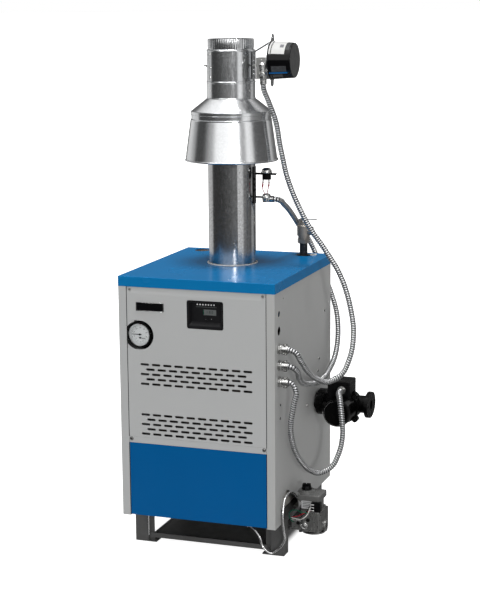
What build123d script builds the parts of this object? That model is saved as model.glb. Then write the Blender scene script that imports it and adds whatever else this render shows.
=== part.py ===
from build123d import *
import math
import os

# =====================================================================
# Gas-fired cast-iron boiler with its burner assembly, draft hood, vent
# damper, circulator and gas valve.  Millimetres, +Z up, front faces -Y.
# Origin: on the floor, under the centre of the jacket footprint.
# =====================================================================

SIDES = (-1, 1)
RUN = 0.05                # radial clearance of pipes and turning parts

# ---- jacket and doors ---------------------------------------------------
JACKET_W = 520.0          # across X
JACKET_D = 610.0          # across Y
JACKET_Z0 = 118.0         # lower edge of the jacket
JACKET_Z1 = 899.0         # top face
FRONT = -JACKET_D / 2     # outer face of the doors
REAR = JACKET_D / 2
TOP_SKIRT = 32.0          # turned-down rim of the top panel
SHEET = 1.2               # sheet thickness
SIDE_INSET = 1.4          # side panels stand in from the top panel
SIDE_X = JACKET_W / 2 - SIDE_INSET   # outer face of the side panels
PANEL_TOP = JACKET_Z1 - SHEET - 0.3

# ---- control panel and gauge --------------------------------------------
BEZEL_X0, BEZEL_X1 = -28.0, 92.0
BEZEL_Z0, BEZEL_Z1 = 745.0, 834.0
BEZEL_X = (BEZEL_X0 + BEZEL_X1) / 2
BEZEL_Z = (BEZEL_Z0 + BEZEL_Z1) / 2
GAUGE_X, GAUGE_Z = -194.0, 712.0

# ---- vent stack -----------------------------------------------------------
VENT_X, VENT_Y = 0.0, 41.0
VENT_CENTRE = (VENT_X, VENT_Y)
VENT_R = 77.2             # outside of the 6 inch pipe
VENT_WALL = 1.0
VENT_BORE_R = VENT_R - VENT_WALL

# ---- base, sections and gas train ------------------------------------------
LEG_H = JACKET_Z0
SECTION_PITCH = 90.0
BURNER_X = tuple((i - 1.5) * SECTION_PITCH for i in range(4))
MANIFOLD_Y, MANIFOLD_Z, MANIFOLD_R = -140.0, 92.0, 13.35
MANIFOLD_AXIS = (MANIFOLD_Y, MANIFOLD_Z)

# ---- piping and electrical entries ------------------------------------------
SUPPLY = (-187.5, 256)            # supply tapping, x and y
RELIEF_X, RELIEF_Y = 178.5, 252.4
RELIEF = (RELIEF_X, RELIEF_Y)
RELIEF_PIPE_R = 13.35
PUMP_Y, PUMP_Z = 140.0, 427.0     # return pipe axis, along X
PUMP_AXIS = (PUMP_Y, PUMP_Z)
PIPE_R = 21.1                     # 1 1/4 inch pipe, outside
ENTRY_Y = -267                    # conduit entries in the right side panel
ENTRY_Z = (690, 638, 586)

# =====================================================================
# HELPERS
# They work in the BuildPart block that calls them.
# =====================================================================


def at_x(x):
    """Sketch plane at x: sketch axes Y and Z, extrudes towards +X."""
    return Plane.YZ.offset(x)


def at_y(y):
    """Sketch plane at y: sketch axes X and Z, extrudes towards -Y, the front."""
    return Plane.XZ.offset(-y)


def at_z(z):
    """Sketch plane at z: sketch axes X and Y, extrudes towards +Z."""
    return Plane.XY.offset(z)


def block(size, *centres, mode=Mode.ADD):
    """Box of the given size at each centre."""
    with Locations(*centres):
        Box(*size, mode=mode)


def bar(shape, sizes, plane, length, *centres, mode=Mode.ADD, taper=0):
    """Sketch shape such as Rectangle, extruded at each centre on the plane."""
    with BuildSketch(plane, mode=Mode.PRIVATE) as section:
        with Locations(*centres):
            shape(*sizes)
    extrude(section.sketch, amount=length, mode=mode, taper=taper)


def rod(plane, radius, length, *centres, taper=0):
    bar(Circle, (radius,), plane, length, *centres, taper=taper)


def bore(plane, radius, length, *centres):
    bar(Circle, (radius,), plane, length, *centres, mode=Mode.SUBTRACT)


def hexagon(plane, radius, length, *centres):
    bar(RegularPolygon, (radius, 6), plane, length, *centres)


def tube(plane, outer, inner, length, centre, mode=Mode.ADD):
    with BuildSketch(plane, mode=Mode.PRIVATE) as section:
        with Locations(centre):
            Circle(outer)
            Circle(inner, mode=Mode.SUBTRACT)
    extrude(section.sketch, amount=length, mode=mode)


def outline(plane, points):
    """Flat face inside a closed outline."""
    with BuildSketch(plane, mode=Mode.PRIVATE) as section:
        with BuildLine():
            Polyline(*points, close=True)
        make_face()
    return section.sketch


def bent_tube(points, radius, ends=None):
    """Round bar along a smooth curve through points, two tangent arcs to a span.

    ends gives the start and end directions; without it they are worked out."""
    points = [Vector(*point) for point in points]
    chords = [end - start for start, end in zip(points, points[1:])]
    tangents = [
        (after.normalized() * before.length + before.normalized() * after.length).normalized()
        for before, after in zip(chords, chords[1:])
    ]
    if ends:
        tangents = [Vector(*ends[0])] + tangents + [Vector(*ends[1])]
    else:
        first = (chords[0].normalized() * 2 - tangents[0]).normalized()
        last = (chords[-1].normalized() * 2 - tangents[-1]).normalized()
        tangents = [first] + tangents + [last]
    with BuildPart(mode=Mode.PRIVATE) as tube_part:
        with BuildLine() as arcs:
            for start, end, tan0, tan1 in zip(points, points[1:], tangents, tangents[1:]):
                span = end - start
                # reach: distance along each end tangent to the arcs' control points
                along = span.dot(tan0 + tan1)
                bend = 2 * (1 - tan0.dot(tan1))
                if bend < 1e-6:
                    reach = span.dot(span) / (2 * along)
                else:
                    reach = (-along + math.sqrt(along * along + bend * span.dot(span))) / bend
                mid = (start + end + (tan0 - tan1) * reach) * 0.5
                mid_tangent = (end - tan1 * reach - start - tan0 * reach).normalized()
                TangentArc(start, mid, tangent=tan0)
                TangentArc(mid, end, tangent=mid_tangent)
        path = arcs.wire()
        with BuildSketch(Plane(path @ 0, z_dir=path % 0)):
            Circle(radius)
        sweep(path=path)
    return tube_part.part


# =====================================================================
# BASE AND BURNERS
# =====================================================================
LEG_X0, LEG_X1 = 211.0, 256.0
LEG_W = LEG_X1 - LEG_X0
LEG_X = (LEG_X0 + LEG_X1) / 2
LEG_T = 3                 # thickness of the angle legs and rails
LEG_Y = 210.0             # middle of the legs' front and rear plates
FLANK_Y = LEG_Y + LEG_T / 2 - LEG_W / 2   # middle of their side plates
FOOT_W, FOOT_T = 73, 4
ANCHOR_X, ANCHOR_Y = 232.0, 186.0
PAN_X, PAN_W = -2.5, 405
PAN_LIP = 2

TRAY_Y, TRAY_W, TRAY_L = 37, 412, 312
TRAY_FLOOR_Z = 69
TRAY_BAR_Y = -90          # front cross bar under the burner tubes

THROAT_Y0, THROAT_Y1 = -108, -60    # open end and neck of the burner throats
CROWN_Y = 105

PILOT_X, PILOT_Y = 90, -78
PILOT_TUBE_R = 3.2


def base_frame():
    """Welded base: four angle legs with feet, top rails, and the pan between them."""
    with BuildPart() as part:
        for side in SIDES:
            for end in SIDES:
                block((LEG_W, LEG_T, LEG_H), (side * LEG_X, end * LEG_Y, LEG_H / 2))
                block((LEG_T, LEG_W, LEG_H),
                      (side * (LEG_X1 - LEG_T / 2), end * FLANK_Y, LEG_H / 2))
                block((FOOT_W, LEG_W, FOOT_T),
                      (side * (LEG_X1 - FOOT_W / 2), end * FLANK_Y, FOOT_T / 2))
                # inner return of the leg
                block((20, 2.5, 104), (side * (LEG_X0 - 8), end * (LEG_Y - 9), 52))
        # side and cross rails under the jacket
        for side in SIDES:
            block((LEG_W, 2 * LEG_Y, LEG_T), (side * LEG_X, 0, LEG_H - LEG_T / 2))
            block((LEG_T, 2 * LEG_Y, 12), (side * (LEG_X1 - LEG_T / 2), 0, LEG_H - 6))
        for end in SIDES:
            block((460, 27, LEG_T), (0, end * (LEG_Y - 12), LEG_H - LEG_T / 2))
        # pan with upturned front and rear lips, and a strip along each side
        block((PAN_W, 2 * LEG_Y, 1.5), (PAN_X, 0, 15.75))
        for end in SIDES:
            block((PAN_W, PAN_LIP, 16), (PAN_X, end * (LEG_Y - PAN_LIP / 2), 23))
        for side in SIDES:
            block((8, 2 * LEG_Y, 4), (side * 203, 0, 17))
        # floor anchor holes in the feet
        anchors = [(side * ANCHOR_X, end * ANCHOR_Y) for side in SIDES for end in SIDES]
        bore(at_z(-1), 4.5, 8, *anchors)
        # triangular relief near the top of each front leg
        for side in SIDES:
            corners = ((side * 232, 114.9), (side * 232, 97), (side * 210, 114.9))
            extrude(outline(at_y(-LEG_Y - 5), corners), amount=-8, mode=Mode.SUBTRACT)
    return part.part


def burner_tray():
    """Tray that carries the burners, hung from the side rails."""
    with BuildPart() as part:
        block((TRAY_W, TRAY_L, 2), (0, TRAY_Y, TRAY_FLOOR_Z))
        for side in SIDES:
            block((2, TRAY_L, 46), (side * (TRAY_W / 2 - 1), TRAY_Y, 91))
            block((24, TRAY_L, 1.6), (side * 216, TRAY_Y, 113.2))
        # two cross bars that the burner tubes rest on
        block((330, 12, 4), (0, TRAY_BAR_Y, 72))
        block((330, 12, 6.8), (0, 180, 73.4))
        # gap for the pilot tube
        block((22, 14, 5), (93, TRAY_BAR_Y, 72.5), mode=Mode.SUBTRACT)
        # air openings between the burners
        with Locations((0, 45, TRAY_FLOOR_Z)):
            with GridLocations(SECTION_PITCH, 1, 3, 1):
                Box(24, 230, 6, mode=Mode.SUBTRACT)
    return part.part


def burner_tubes():
    """Four atmospheric burner tubes: flared throat, round tube, slotted crown."""
    with BuildPart() as part:
        for burner_x in BURNER_X:
            centre = (burner_x, MANIFOLD_Z)
            rod(at_y(THROAT_Y1), 15, -320, centre)
            # flared throat facing the orifice
            with BuildSketch(at_y(THROAT_Y0)):
                with Locations(centre):
                    Circle(19)
            with BuildSketch(at_y(THROAT_Y1)):
                with Locations(centre):
                    Circle(14)
            loft()
            # raised port crown
            block((14, 300, 8), (burner_x, CROWN_Y, MANIFOLD_Z + 15))
            # bore
            with BuildSketch(at_y(THROAT_Y0)):
                with Locations(centre):
                    Circle(17)
            with BuildSketch(at_y(THROAT_Y1)):
                with Locations(centre):
                    Circle(12.6)
            loft(mode=Mode.SUBTRACT)
            bore(at_y(THROAT_Y1 - 1), 13, -318, centre)
            # flame ports
            with Locations((burner_x, CROWN_Y, MANIFOLD_Z + 16)):
                with GridLocations(1, 11.5, 1, 25):
                    Box(9, 4, 12, mode=Mode.SUBTRACT)
    return part.part


def gas_manifold():
    """Manifold pipe from the gas valve, capped at its far end, a boss per burner."""
    pipe_x0, pipe_x1 = -172, 281
    bore_x0 = -168
    centres = [(burner_x, MANIFOLD_Z) for burner_x in BURNER_X]
    with BuildPart() as part:
        rod(at_x(pipe_x0), MANIFOLD_R, pipe_x1 - pipe_x0, MANIFOLD_AXIS)
        rod(at_x(-190), 17, 30, MANIFOLD_AXIS)
        for centre in centres:
            hexagon(at_y(MANIFOLD_Y), 9, -16, centre)
        bore(at_x(bore_x0), MANIFOLD_R - 2.9, 290 - bore_x0, MANIFOLD_AXIS)
        for centre in centres:
            bore(at_y(MANIFOLD_Y), 4.0, -20, centre)
    return part.part


def burner_orifices():
    """Brass orifices screwed into the manifold bosses."""
    with BuildPart() as part:
        for burner_x in BURNER_X:
            centre = (burner_x, MANIFOLD_Z)
            rod(at_y(-129), 3.95, -6, centre)
            hexagon(at_y(-124), 7.5, -6, centre)
            rod(at_y(-118), 5, -6, centre, taper=20)
            bore(at_y(-130), 1.2, -20, centre)
    return part.part


def pilot_burner():
    """Pilot burner between the two right-hand burners."""
    centre = (PILOT_X, PILOT_Y)
    with BuildPart() as part:
        block((16, 40, 4), (PILOT_X, PILOT_Y + 12, 100))
        rod(at_z(84), 6, 40, centre)
        rod(at_z(124), 8, 8, centre)
        bore(at_z(119), 3, 20, centre)
        rod(at_z(88), 3.2, 46, (PILOT_X, PILOT_Y + 26))
    return part.part


# x, y, z from the valve, down round the front leg, under the jacket, to the pilot
PILOT_TUBE_PATH = (
    (299, -150, 168), (284, -156, 182), (278, -182, 205), (275, -225, 215),
    (275, -257, 208), (275, -276, 178), (275, -281, 147), (275, -268, 106),
    (271, -248, 68), (247, -240, 33), (220, -240, 17), (197, -240, 34),
    (182, -240, 71), (160, -232, 91), (135, -205, 84), (114, -158, 73),
    (102, -122, 75.2), (93.5, -95, 75.2), (90.6, -82, 77.8), (90, -78, 83.6),
)


def pilot_tube():
    """Aluminium tube from the gas valve to the pilot burner."""
    with BuildPart() as part:
        add(bent_tube(PILOT_TUBE_PATH, PILOT_TUBE_R, ((-1, 0, 0), (0, 0, 1))))
    return part.part


# =====================================================================
# GAS VALVE
# =====================================================================
BODY_Z0, BODY_Z1 = 80, 150
NECK_TOP = 182
COVER_TOP = 200
KNOB_CENTRE = (310, MANIFOLD_Y)
KNOB_Z = 208.4
SPINDLE_R = 4.0
TERMINAL_Z = (155, 164.5, 174)
LEAD_R = 1.4


def gas_valve_body():
    """Die-cast body with ribbed flank, outlet block, inlet boss and top cover."""
    with BuildPart() as part:
        bar(RectangleRounded, (62, 84, 9), at_z(BODY_Z0), BODY_Z1 - BODY_Z0, (333, MANIFOLD_Y))
        bar(RectangleRounded, (58, 66, 6), at_z(BODY_Z1), NECK_TOP - BODY_Z1, (330, MANIFOLD_Y))
        # ribs on the flank and the front
        with BuildSketch(at_z(84)):
            with Locations((366, MANIFOLD_Y)):
                with GridLocations(1, 12.5, 1, 7):
                    Rectangle(8, 4)
        extrude(amount=62)
        with BuildSketch(at_z(84)):
            with Locations((349, -183.5)):
                with GridLocations(10, 1, 3, 1):
                    Rectangle(3.5, 7)
        extrude(amount=60)
        # outlet block and inlet boss
        bar(RectangleRounded, (44, 36, 6), at_x(266), 42, MANIFOLD_AXIS)
        rod(at_x(362), 18, 14, MANIFOLD_AXIS)
        # top cover
        bar(RectangleRounded, (76, 82, 8), at_z(NECK_TOP), COVER_TOP - NECK_TOP,
            (328, MANIFOLD_Y))
        fillet(part.faces().sort_by(Axis.Z)[-1].edges(), 3)
        # conical ring under the knob
        rod(at_z(COVER_TOP), 30, 8, KNOB_CENTRE, taper=35)
        # blind seat for the diaphragm cover
        rod(at_z(BODY_Z0 - 10), 37, 10, (334, MANIFOLD_Y))
        # regulator domes on the front
        with Locations((318, -182, 101)):
            Sphere(11)
        with Locations((303, -176, 95)):
            Sphere(8)
        # sockets for the manifold and the supply pipe
        bore(at_x(260), MANIFOLD_R + RUN, 22, MANIFOLD_AXIS)
        bore(at_x(380), 9.3, -20, MANIFOLD_AXIS)
        # knob spindle socket
        bore(at_z(190), SPINDLE_R + RUN, 30, KNOB_CENTRE)
        # pilot tube port
        bore(at_x(296), 4.5, 6, (-150, 168))
    return part.part


def gas_valve_knob():
    """Turning knob on the valve, with a finger ridge."""
    with BuildPart() as part:
        bar(RegularPolygon, (17.0, 8), at_z(KNOB_Z), 12, KNOB_CENTRE, taper=9)
        block((25, 11, 9), (*KNOB_CENTRE, 223))
        rod(at_z(191), SPINDLE_R, 20, KNOB_CENTRE)
        fillet(part.faces().sort_by(Axis.Z)[-1].edges(), 2.5)
    return part.part


def gas_valve_terminal_block():
    """Terminal block on the front of the valve."""
    with BuildPart() as part:
        block((30, 17, 31.4), (355, -182, 166))
        fillet(part.edges().filter_by(Axis.Y), 2)
        for z in TERMINAL_Z:
            block((18, 6, 5), (348, -191, z), mode=Mode.SUBTRACT)
    return part.part


def gas_valve_plugs():
    """Two hexagonal pressure-tap plugs on the front and a round one underneath."""
    with BuildPart() as part:
        for x, y, z in ((289, -162, 101), (328, -182, 120)):
            hexagon(at_y(y), 6, 6, (x, z))
        rod(at_z(74), 5.5, -8, (292, -148))
    return part.part


# x, y, z along each lead: four at the gas valve, two at the spill switch
LEADS = (
    ((338, -196, 174), (330, -200, 156), (322, -199, 146), (312, -192, 136), (300, -184, 124)),
    ((338, -196, 164.5), (328, -202, 140), (308, -198, 125), (286, -188, 122), (270, -178, 121)),
    ((338, -196, 155), (318, -201, 146), (296, -198, 134), (276, -190, 128)),
    ((336, -206, 152), (312, -206, 152), (294, -200, 155), (274, -195, 148), (267, -192, 134),
     (274, -192, 118), (284, -196, 114)),
    ((109.5, 34, 1168.6), (107, 34, 1150), (111, 36, 1137), (114, 38, 1130)),
    ((129.5, 34, 1168.6), (128, 34, 1152), (124, 36, 1140), (121.5, 38, 1130)),
)


def wire_leads():
    """Loose wire leads."""
    with BuildPart() as part:
        for points in LEADS:
            add(bent_tube(points, LEAD_R))
    return part.part


# =====================================================================
# CASTINGS AND FLUE COLLECTOR
# =====================================================================
CHAMBER_TOP = 291.0
SECTION_T = 80.0
SECTION_WALL = 8
SECTION_CENTRE = (70, 506)        # y and z
SECTION_D, SECTION_H = 440, 429
TAPPING_Z = 735.2                 # lower end of the relief-valve nipple
RETURN_X0, RETURN_X1 = 212, 280   # return nipple
COLLECTOR_Y = 30
COLLECTOR_Z0, COLLECTOR_Z1 = 752, 852     # foot and top of the transition


def chamber_insulation():
    """Ceramic-fibre walls of the combustion chamber."""
    centre = (0, SECTION_CENTRE[0], (JACKET_Z0 + CHAMBER_TOP) / 2)
    with BuildPart() as part:
        block((430, SECTION_D, CHAMBER_TOP - JACKET_Z0), centre)
        block((380, 390, 400), centre, mode=Mode.SUBTRACT)
    return part.part


def cast_iron_sections():
    """Five hollow cast-iron sections side by side."""
    with BuildPart() as part:
        for i in range(-2, 3):
            mid_x = i * SECTION_PITCH
            left_x = mid_x - SECTION_T / 2
            with BuildSketch(at_x(left_x)):
                with Locations(SECTION_CENTRE):
                    RectangleRounded(SECTION_D, SECTION_H, 22)
                with Locations((255, 715)):
                    RectangleRounded(70, 70, 14)
            extrude(amount=SECTION_T)
            # water space
            water_size = (SECTION_D - 2 * SECTION_WALL, SECTION_H - 2 * SECTION_WALL, 16)
            bar(RectangleRounded, water_size, at_x(left_x + SECTION_WALL),
                SECTION_T - 2 * SECTION_WALL, SECTION_CENTRE, mode=Mode.SUBTRACT)
            # raised heating-surface ribs on both faces
            with Locations((mid_x, 60, 500)):
                with GridLocations(1, 56, 1, 6):
                    Box(SECTION_T + 6, 8, 300)
            # ribs kept out of the water space
            block((SECTION_T - 2 * SECTION_WALL, 300, 320), (mid_x, 60, 500),
                  mode=Mode.SUBTRACT)
            # upper and lower ports between the sections, closed at both ends of the row
            for port in ((255, 690), PUMP_AXIS):
                port_x0 = left_x - 4 if i > -2 else mid_x
                port_x1 = mid_x + SECTION_T / 2 + 4 if i < 2 else mid_x
                bore(at_x(port_x0), 26, port_x1 - port_x0, port)
        # return port in the right-hand section
        bore(at_x(200), PIPE_R + RUN, 40, PUMP_AXIS)
        # tappings on top: supply on the left, relief valve on the right
        bore(at_z(700), PIPE_R + RUN, 60, SUPPLY)
        bore(at_z(700), RELIEF_PIPE_R + RUN, 60, RELIEF)
    return part.part


def pipe_nipples():
    """Two plain pipe nipples: relief-valve nipple and return nipple."""
    with BuildPart() as part:
        tube(at_z(TAPPING_Z), RELIEF_PIPE_R, 10.4, 952 - TAPPING_Z, RELIEF)
        tube(at_x(RETURN_X0), PIPE_R, 17.5, RETURN_X1 - RETURN_X0, PUMP_AXIS)
    return part.part


def flue_collector():
    """Sheet-metal collector on the sections: outer form, then the space inside it."""
    # width, depth, skirt height, skirt z, neck radius, neck z, neck length, mode
    forms = (
        (430, 340, 30, 737, VENT_BORE_R - 0.1, COLLECTOR_Z1, 43, Mode.ADD),
        (427, 337, 32, 736, VENT_BORE_R - 1.3, COLLECTOR_Z1 - 1, 50, Mode.SUBTRACT),
    )
    with BuildPart() as part:
        for width, depth, skirt_h, skirt_z, neck_r, neck_z, neck_l, mode in forms:
            block((width, depth, skirt_h), (0, COLLECTOR_Y, skirt_z), mode=mode)
            with BuildSketch(at_z(COLLECTOR_Z0)):
                with Locations((0, COLLECTOR_Y)):
                    Rectangle(width, depth)
            with BuildSketch(at_z(COLLECTOR_Z1)):
                with Locations(VENT_CENTRE):
                    Circle(neck_r)
            loft(mode=mode)
            bar(Circle, (neck_r,), at_z(neck_z), neck_l, VENT_CENTRE, mode=mode)
    return part.part


# =====================================================================
# JACKET
# =====================================================================
FLANGE_W = 29.0 - SIDE_INSET                # front flange of each side panel
FLANGE_TOP = JACKET_Z1 - TOP_SKIRT - 0.2
LIP_X = SIDE_X - FLANGE_W + 2.0 - SIDE_INSET    # return lip behind the front flange
DOOR_X = 230.0                              # half width of the doors
RAIL_Z0, RAIL_Z1 = 361.6, 381.6

SCREW_R = 2.0
SCREW_HOLE_R = 2.1
SCREW_HEAD_R = 4.2
RAIL_SCREWS = ((-223, 374), (223, 374))     # x, z
# y, z of the screws in the right side panel
SIDE_SCREWS = ((-256, 509.5), (30.5, 438), (-259, 467), (164, 567), (151, 528), (227.5, 718))
# radius, then y and z of each round opening in the right side panel
SIDE_OPENINGS = (
    (27, (PUMP_AXIS,)),                             # return pipe
    (8.2, tuple((ENTRY_Y, z) for z in ENTRY_Z)),    # conduit entries
    (3.5, ((-217, 839),)),                          # small hole
    (9.5, ((-261, 798.5),)),                        # open knockouts
    (14.0, ((-261, 744.7),)),
    (SCREW_HOLE_R, SIDE_SCREWS),
)


def add_side_panel(side):
    """Side panel sheet with its flanges; side is -1 for left, 1 for right."""
    panel_h = PANEL_TOP - JACKET_Z0
    panel_z = (JACKET_Z0 + PANEL_TOP) / 2
    flange_h = FLANGE_TOP - JACKET_Z0
    flange_z = (JACKET_Z0 + FLANGE_TOP) / 2
    block((SHEET, JACKET_D - 2.4, panel_h), (side * (SIDE_X - SHEET / 2), 0, panel_z))
    # front, rear and lower flanges
    block((FLANGE_W, SHEET, flange_h),
          (side * (SIDE_X - FLANGE_W / 2), FRONT + SHEET / 2, flange_z))
    block((24, SHEET, panel_h), (side * (SIDE_X - 12), REAR - 2.6 - SHEET / 2, panel_z))
    block((20, JACKET_D - 4.0, SHEET), (side * (SIDE_X - 10), -0.8, JACKET_Z0 + SHEET / 2))
    # return lip behind the front flange
    block((SHEET, 14, flange_h), (side * LIP_X, FRONT + 8, flange_z))


def jacket_left():
    """Left side panel, its return lip cut away clear of the gauge."""
    with BuildPart() as part:
        add_side_panel(-1)
        block((8, 17.4, 96), (-LIP_X, FRONT + 10, GAUGE_Z), mode=Mode.SUBTRACT)
    return part.part


def jacket_right():
    """Right side panel, with the gas opening, pipe opening, entries and knockouts."""
    opening_z0 = JACKET_Z0 - 2
    with BuildPart() as part:
        add_side_panel(1)
        # arched gas opening at the lower front
        with BuildSketch(at_x(SIDE_X - 40)):
            with BuildLine():
                Polyline((-248, opening_z0), (-248, 178))
                ThreePointArc((-248, 178), (-205, 212), (-150, 196))
                Polyline((-150, 196), (-66, 150), (-60, opening_z0), (-248, opening_z0))
            make_face()
        extrude(amount=60, mode=Mode.SUBTRACT)
        for radius, centres in SIDE_OPENINGS:
            bore(at_x(SIDE_X - 5), radius, 10, *centres)
    return part.part


def jacket_rear():
    """Rear panel with two fields of slots."""
    with BuildPart() as part:
        block((2 * (SIDE_X - SHEET) - 0.4, SHEET, PANEL_TOP - JACKET_Z0),
              (0, REAR - SHEET / 2 - 1.3, (JACKET_Z0 + PANEL_TOP) / 2))
        with BuildSketch(at_y(REAR + 5)):
            with Locations((0, 250), (0, 800)):
                with GridLocations(40, 14, 9, 4):
                    SlotOverall(26, 6)
        extrude(amount=12, mode=Mode.SUBTRACT)
    return part.part


def jacket_top():
    """Top panel: lid with a turned-down rim."""
    depth = JACKET_D + 0.6
    mid_z = JACKET_Z1 - TOP_SKIRT / 2
    with BuildPart() as part:
        block((JACKET_W, depth, TOP_SKIRT), (0, 0, mid_z))
        fillet(part.edges().filter_by(Axis.Z), 2.5)
        fillet(part.faces().sort_by(Axis.Z)[-1].edges(), 1.8)
        block((JACKET_W - 2 * SHEET, depth - 2 * SHEET, TOP_SKIRT), (0, 0, mid_z - SHEET),
              mode=Mode.SUBTRACT)
        # holes for the vent, supply and relief pipes, and one small hole
        for radius, centre in ((83, VENT_CENTRE), (26, SUPPLY), (15, RELIEF), (11, (207.5, 262))):
            bore(at_z(JACKET_Z1 - 5), radius, 10, centre)
    return part.part


def front_rail():
    """Channel between the two doors, open to the rear."""
    with BuildPart() as part:
        block((2 * DOOR_X, SHEET, RAIL_Z1 - RAIL_Z0),
              (0, FRONT + SHEET / 2, (RAIL_Z0 + RAIL_Z1) / 2))
        for z in (RAIL_Z0 + SHEET / 2, RAIL_Z1 - SHEET / 2):
            block((2 * DOOR_X, 24, SHEET), (0, FRONT + 12, z))
        bore(at_y(FRONT - 2), SCREW_HOLE_R, -6, *RAIL_SCREWS)
    return part.part


def add_screw(plane, centre):
    """Screw with a tapered head on the plane and its shank behind it."""
    rod(plane, SCREW_HEAD_R, 2.2, centre, taper=25)
    rod(plane, SCREW_R, -8, centre)


def jacket_screws():
    """Screws in the rail and the right side panel."""
    with BuildPart() as part:
        for centre in RAIL_SCREWS:
            add_screw(at_y(FRONT), centre)
        for centre in SIDE_SCREWS:
            add_screw(at_x(SIDE_X), centre)
    return part.part


# =====================================================================
# DOORS
# =====================================================================
UPPER_Z0, UPPER_Z1 = 382.0, 866.0
LOWER_Z0, LOWER_Z1 = 121.0, 361.0
DOOR_T = 18               # depth of the folded doors
SLOPE_Y, SLOPE_H = 3.4, 20    # sloping top edge of the upper door
SLOT_L, SLOT_H = 29.0, 7.4
SLOT_PITCH = 38.2
ROW_PITCH = 15.75
LOUVRE_TOP_ROWS = (619.6, 456.5)
DOOR_SCREWS = ((-220, 858), (220, 858))     # x, z
BADGE_CENTRE = (-152, 805)


def upper_door():
    """Folded sheet with two louvre fields, gauge and control openings."""
    outer = (
        (FRONT, UPPER_Z0), (FRONT + DOOR_T, UPPER_Z0), (FRONT + DOOR_T, UPPER_Z1),
        (FRONT + SLOPE_Y, UPPER_Z1), (FRONT, UPPER_Z1 - SLOPE_H),
    )
    inner = (
        (FRONT + SHEET, UPPER_Z0 + SHEET), (FRONT + DOOR_T + 2, UPPER_Z0 + SHEET),
        (FRONT + DOOR_T + 2, UPPER_Z1 - SHEET), (FRONT + SLOPE_Y + SHEET, UPPER_Z1 - SHEET),
        (FRONT + SHEET, UPPER_Z1 - SLOPE_H),
    )
    with BuildPart() as part:
        extrude(outline(at_x(-DOOR_X), outer), amount=2 * DOOR_X)
        extrude(outline(at_x(-DOOR_X + SHEET), inner), amount=2 * (DOOR_X - SHEET),
                mode=Mode.SUBTRACT)
        # louvre slots, rows of ten and nine in turn
        for top_row_z in LOUVRE_TOP_ROWS:
            with BuildSketch(at_y(FRONT - 2)):
                with Locations((-1, top_row_z - 2 * ROW_PITCH)):
                    with GridLocations(SLOT_PITCH, 2 * ROW_PITCH, 10, 3):
                        SlotOverall(SLOT_L, SLOT_H)
                    with GridLocations(SLOT_PITCH, 2 * ROW_PITCH, 9, 2):
                        SlotOverall(SLOT_L, SLOT_H)
            extrude(amount=-8, mode=Mode.SUBTRACT)
        # gauge opening, open to the left-hand seam
        with BuildSketch(at_y(FRONT - 2)):
            with Locations((-187.7, 713.6)):
                Circle(46.4)
            with Locations((-211, 713.6)):
                Rectangle(46, 92.8)
        extrude(amount=-24, mode=Mode.SUBTRACT)
        # control opening
        bar(RectangleRounded, (BEZEL_X1 - BEZEL_X0 + 1, BEZEL_Z1 - BEZEL_Z0 + 1, 7),
            at_y(FRONT - 2), -24, (BEZEL_X, BEZEL_Z), mode=Mode.SUBTRACT)
        # screw holes in the sloping top edge
        bore(at_y(FRONT - 2), SCREW_HOLE_R, -24, *DOOR_SCREWS)
    return part.part


def upper_door_screws():
    """Screws in the sloping top edge of the upper door."""
    head_y = FRONT + 0.6
    with BuildPart() as part:
        for centre in DOOR_SCREWS:
            rod(at_y(head_y), SCREW_HEAD_R, 2.6, centre, taper=20)
            rod(at_y(FRONT), SCREW_R, -14, centre)
        # cut back to the heads, then run the shorter shanks
        block((500, 14, 20), (0, FRONT + 8.8, 858), mode=Mode.SUBTRACT)
        for centre in DOOR_SCREWS:
            rod(at_y(head_y), SCREW_R, -12, centre)
    return part.part


def badge_plate():
    """Blank name-plate with a shallow recessed face."""
    with BuildPart() as part:
        bar(RectangleRounded, (94, 28, 2), at_y(FRONT), 2, BADGE_CENTRE)
        bar(RectangleRounded, (90, 24, 1.5), at_y(FRONT - 1.5), 1, BADGE_CENTRE,
            mode=Mode.SUBTRACT)
    return part.part


def lower_door():
    """Plain folded sheet."""
    width, height = 2 * DOOR_X, LOWER_Z1 - LOWER_Z0
    mid_y, mid_z = FRONT + DOOR_T / 2, (LOWER_Z0 + LOWER_Z1) / 2
    with BuildPart() as part:
        block((width, DOOR_T, height), (0, mid_y, mid_z))
        fillet(part.faces().sort_by(Axis.Y)[0].edges(), 1.6)
        block((width - 2 * SHEET, DOOR_T, height - 2 * SHEET), (0, mid_y + SHEET, mid_z),
              mode=Mode.SUBTRACT)
    return part.part


# =====================================================================
# CONTROL AND GAUGE
# =====================================================================
BUTTON_X = (31.0, 49.0)
BUTTON_Z = 775.0
BUTTON_L, BUTTON_H = 12, 6
DISPLAY_CENTRE = (43, 796)
DISPLAY_W, DISPLAY_H = 42, 18

GAUGE_CENTRE = (GAUGE_X, GAUGE_Z)
GAUGE_R = 42.0
DIAL_R = 38.5             # dial and lens
TEMP_PIVOT = (GAUGE_X, GAUGE_Z - 11.0)


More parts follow.
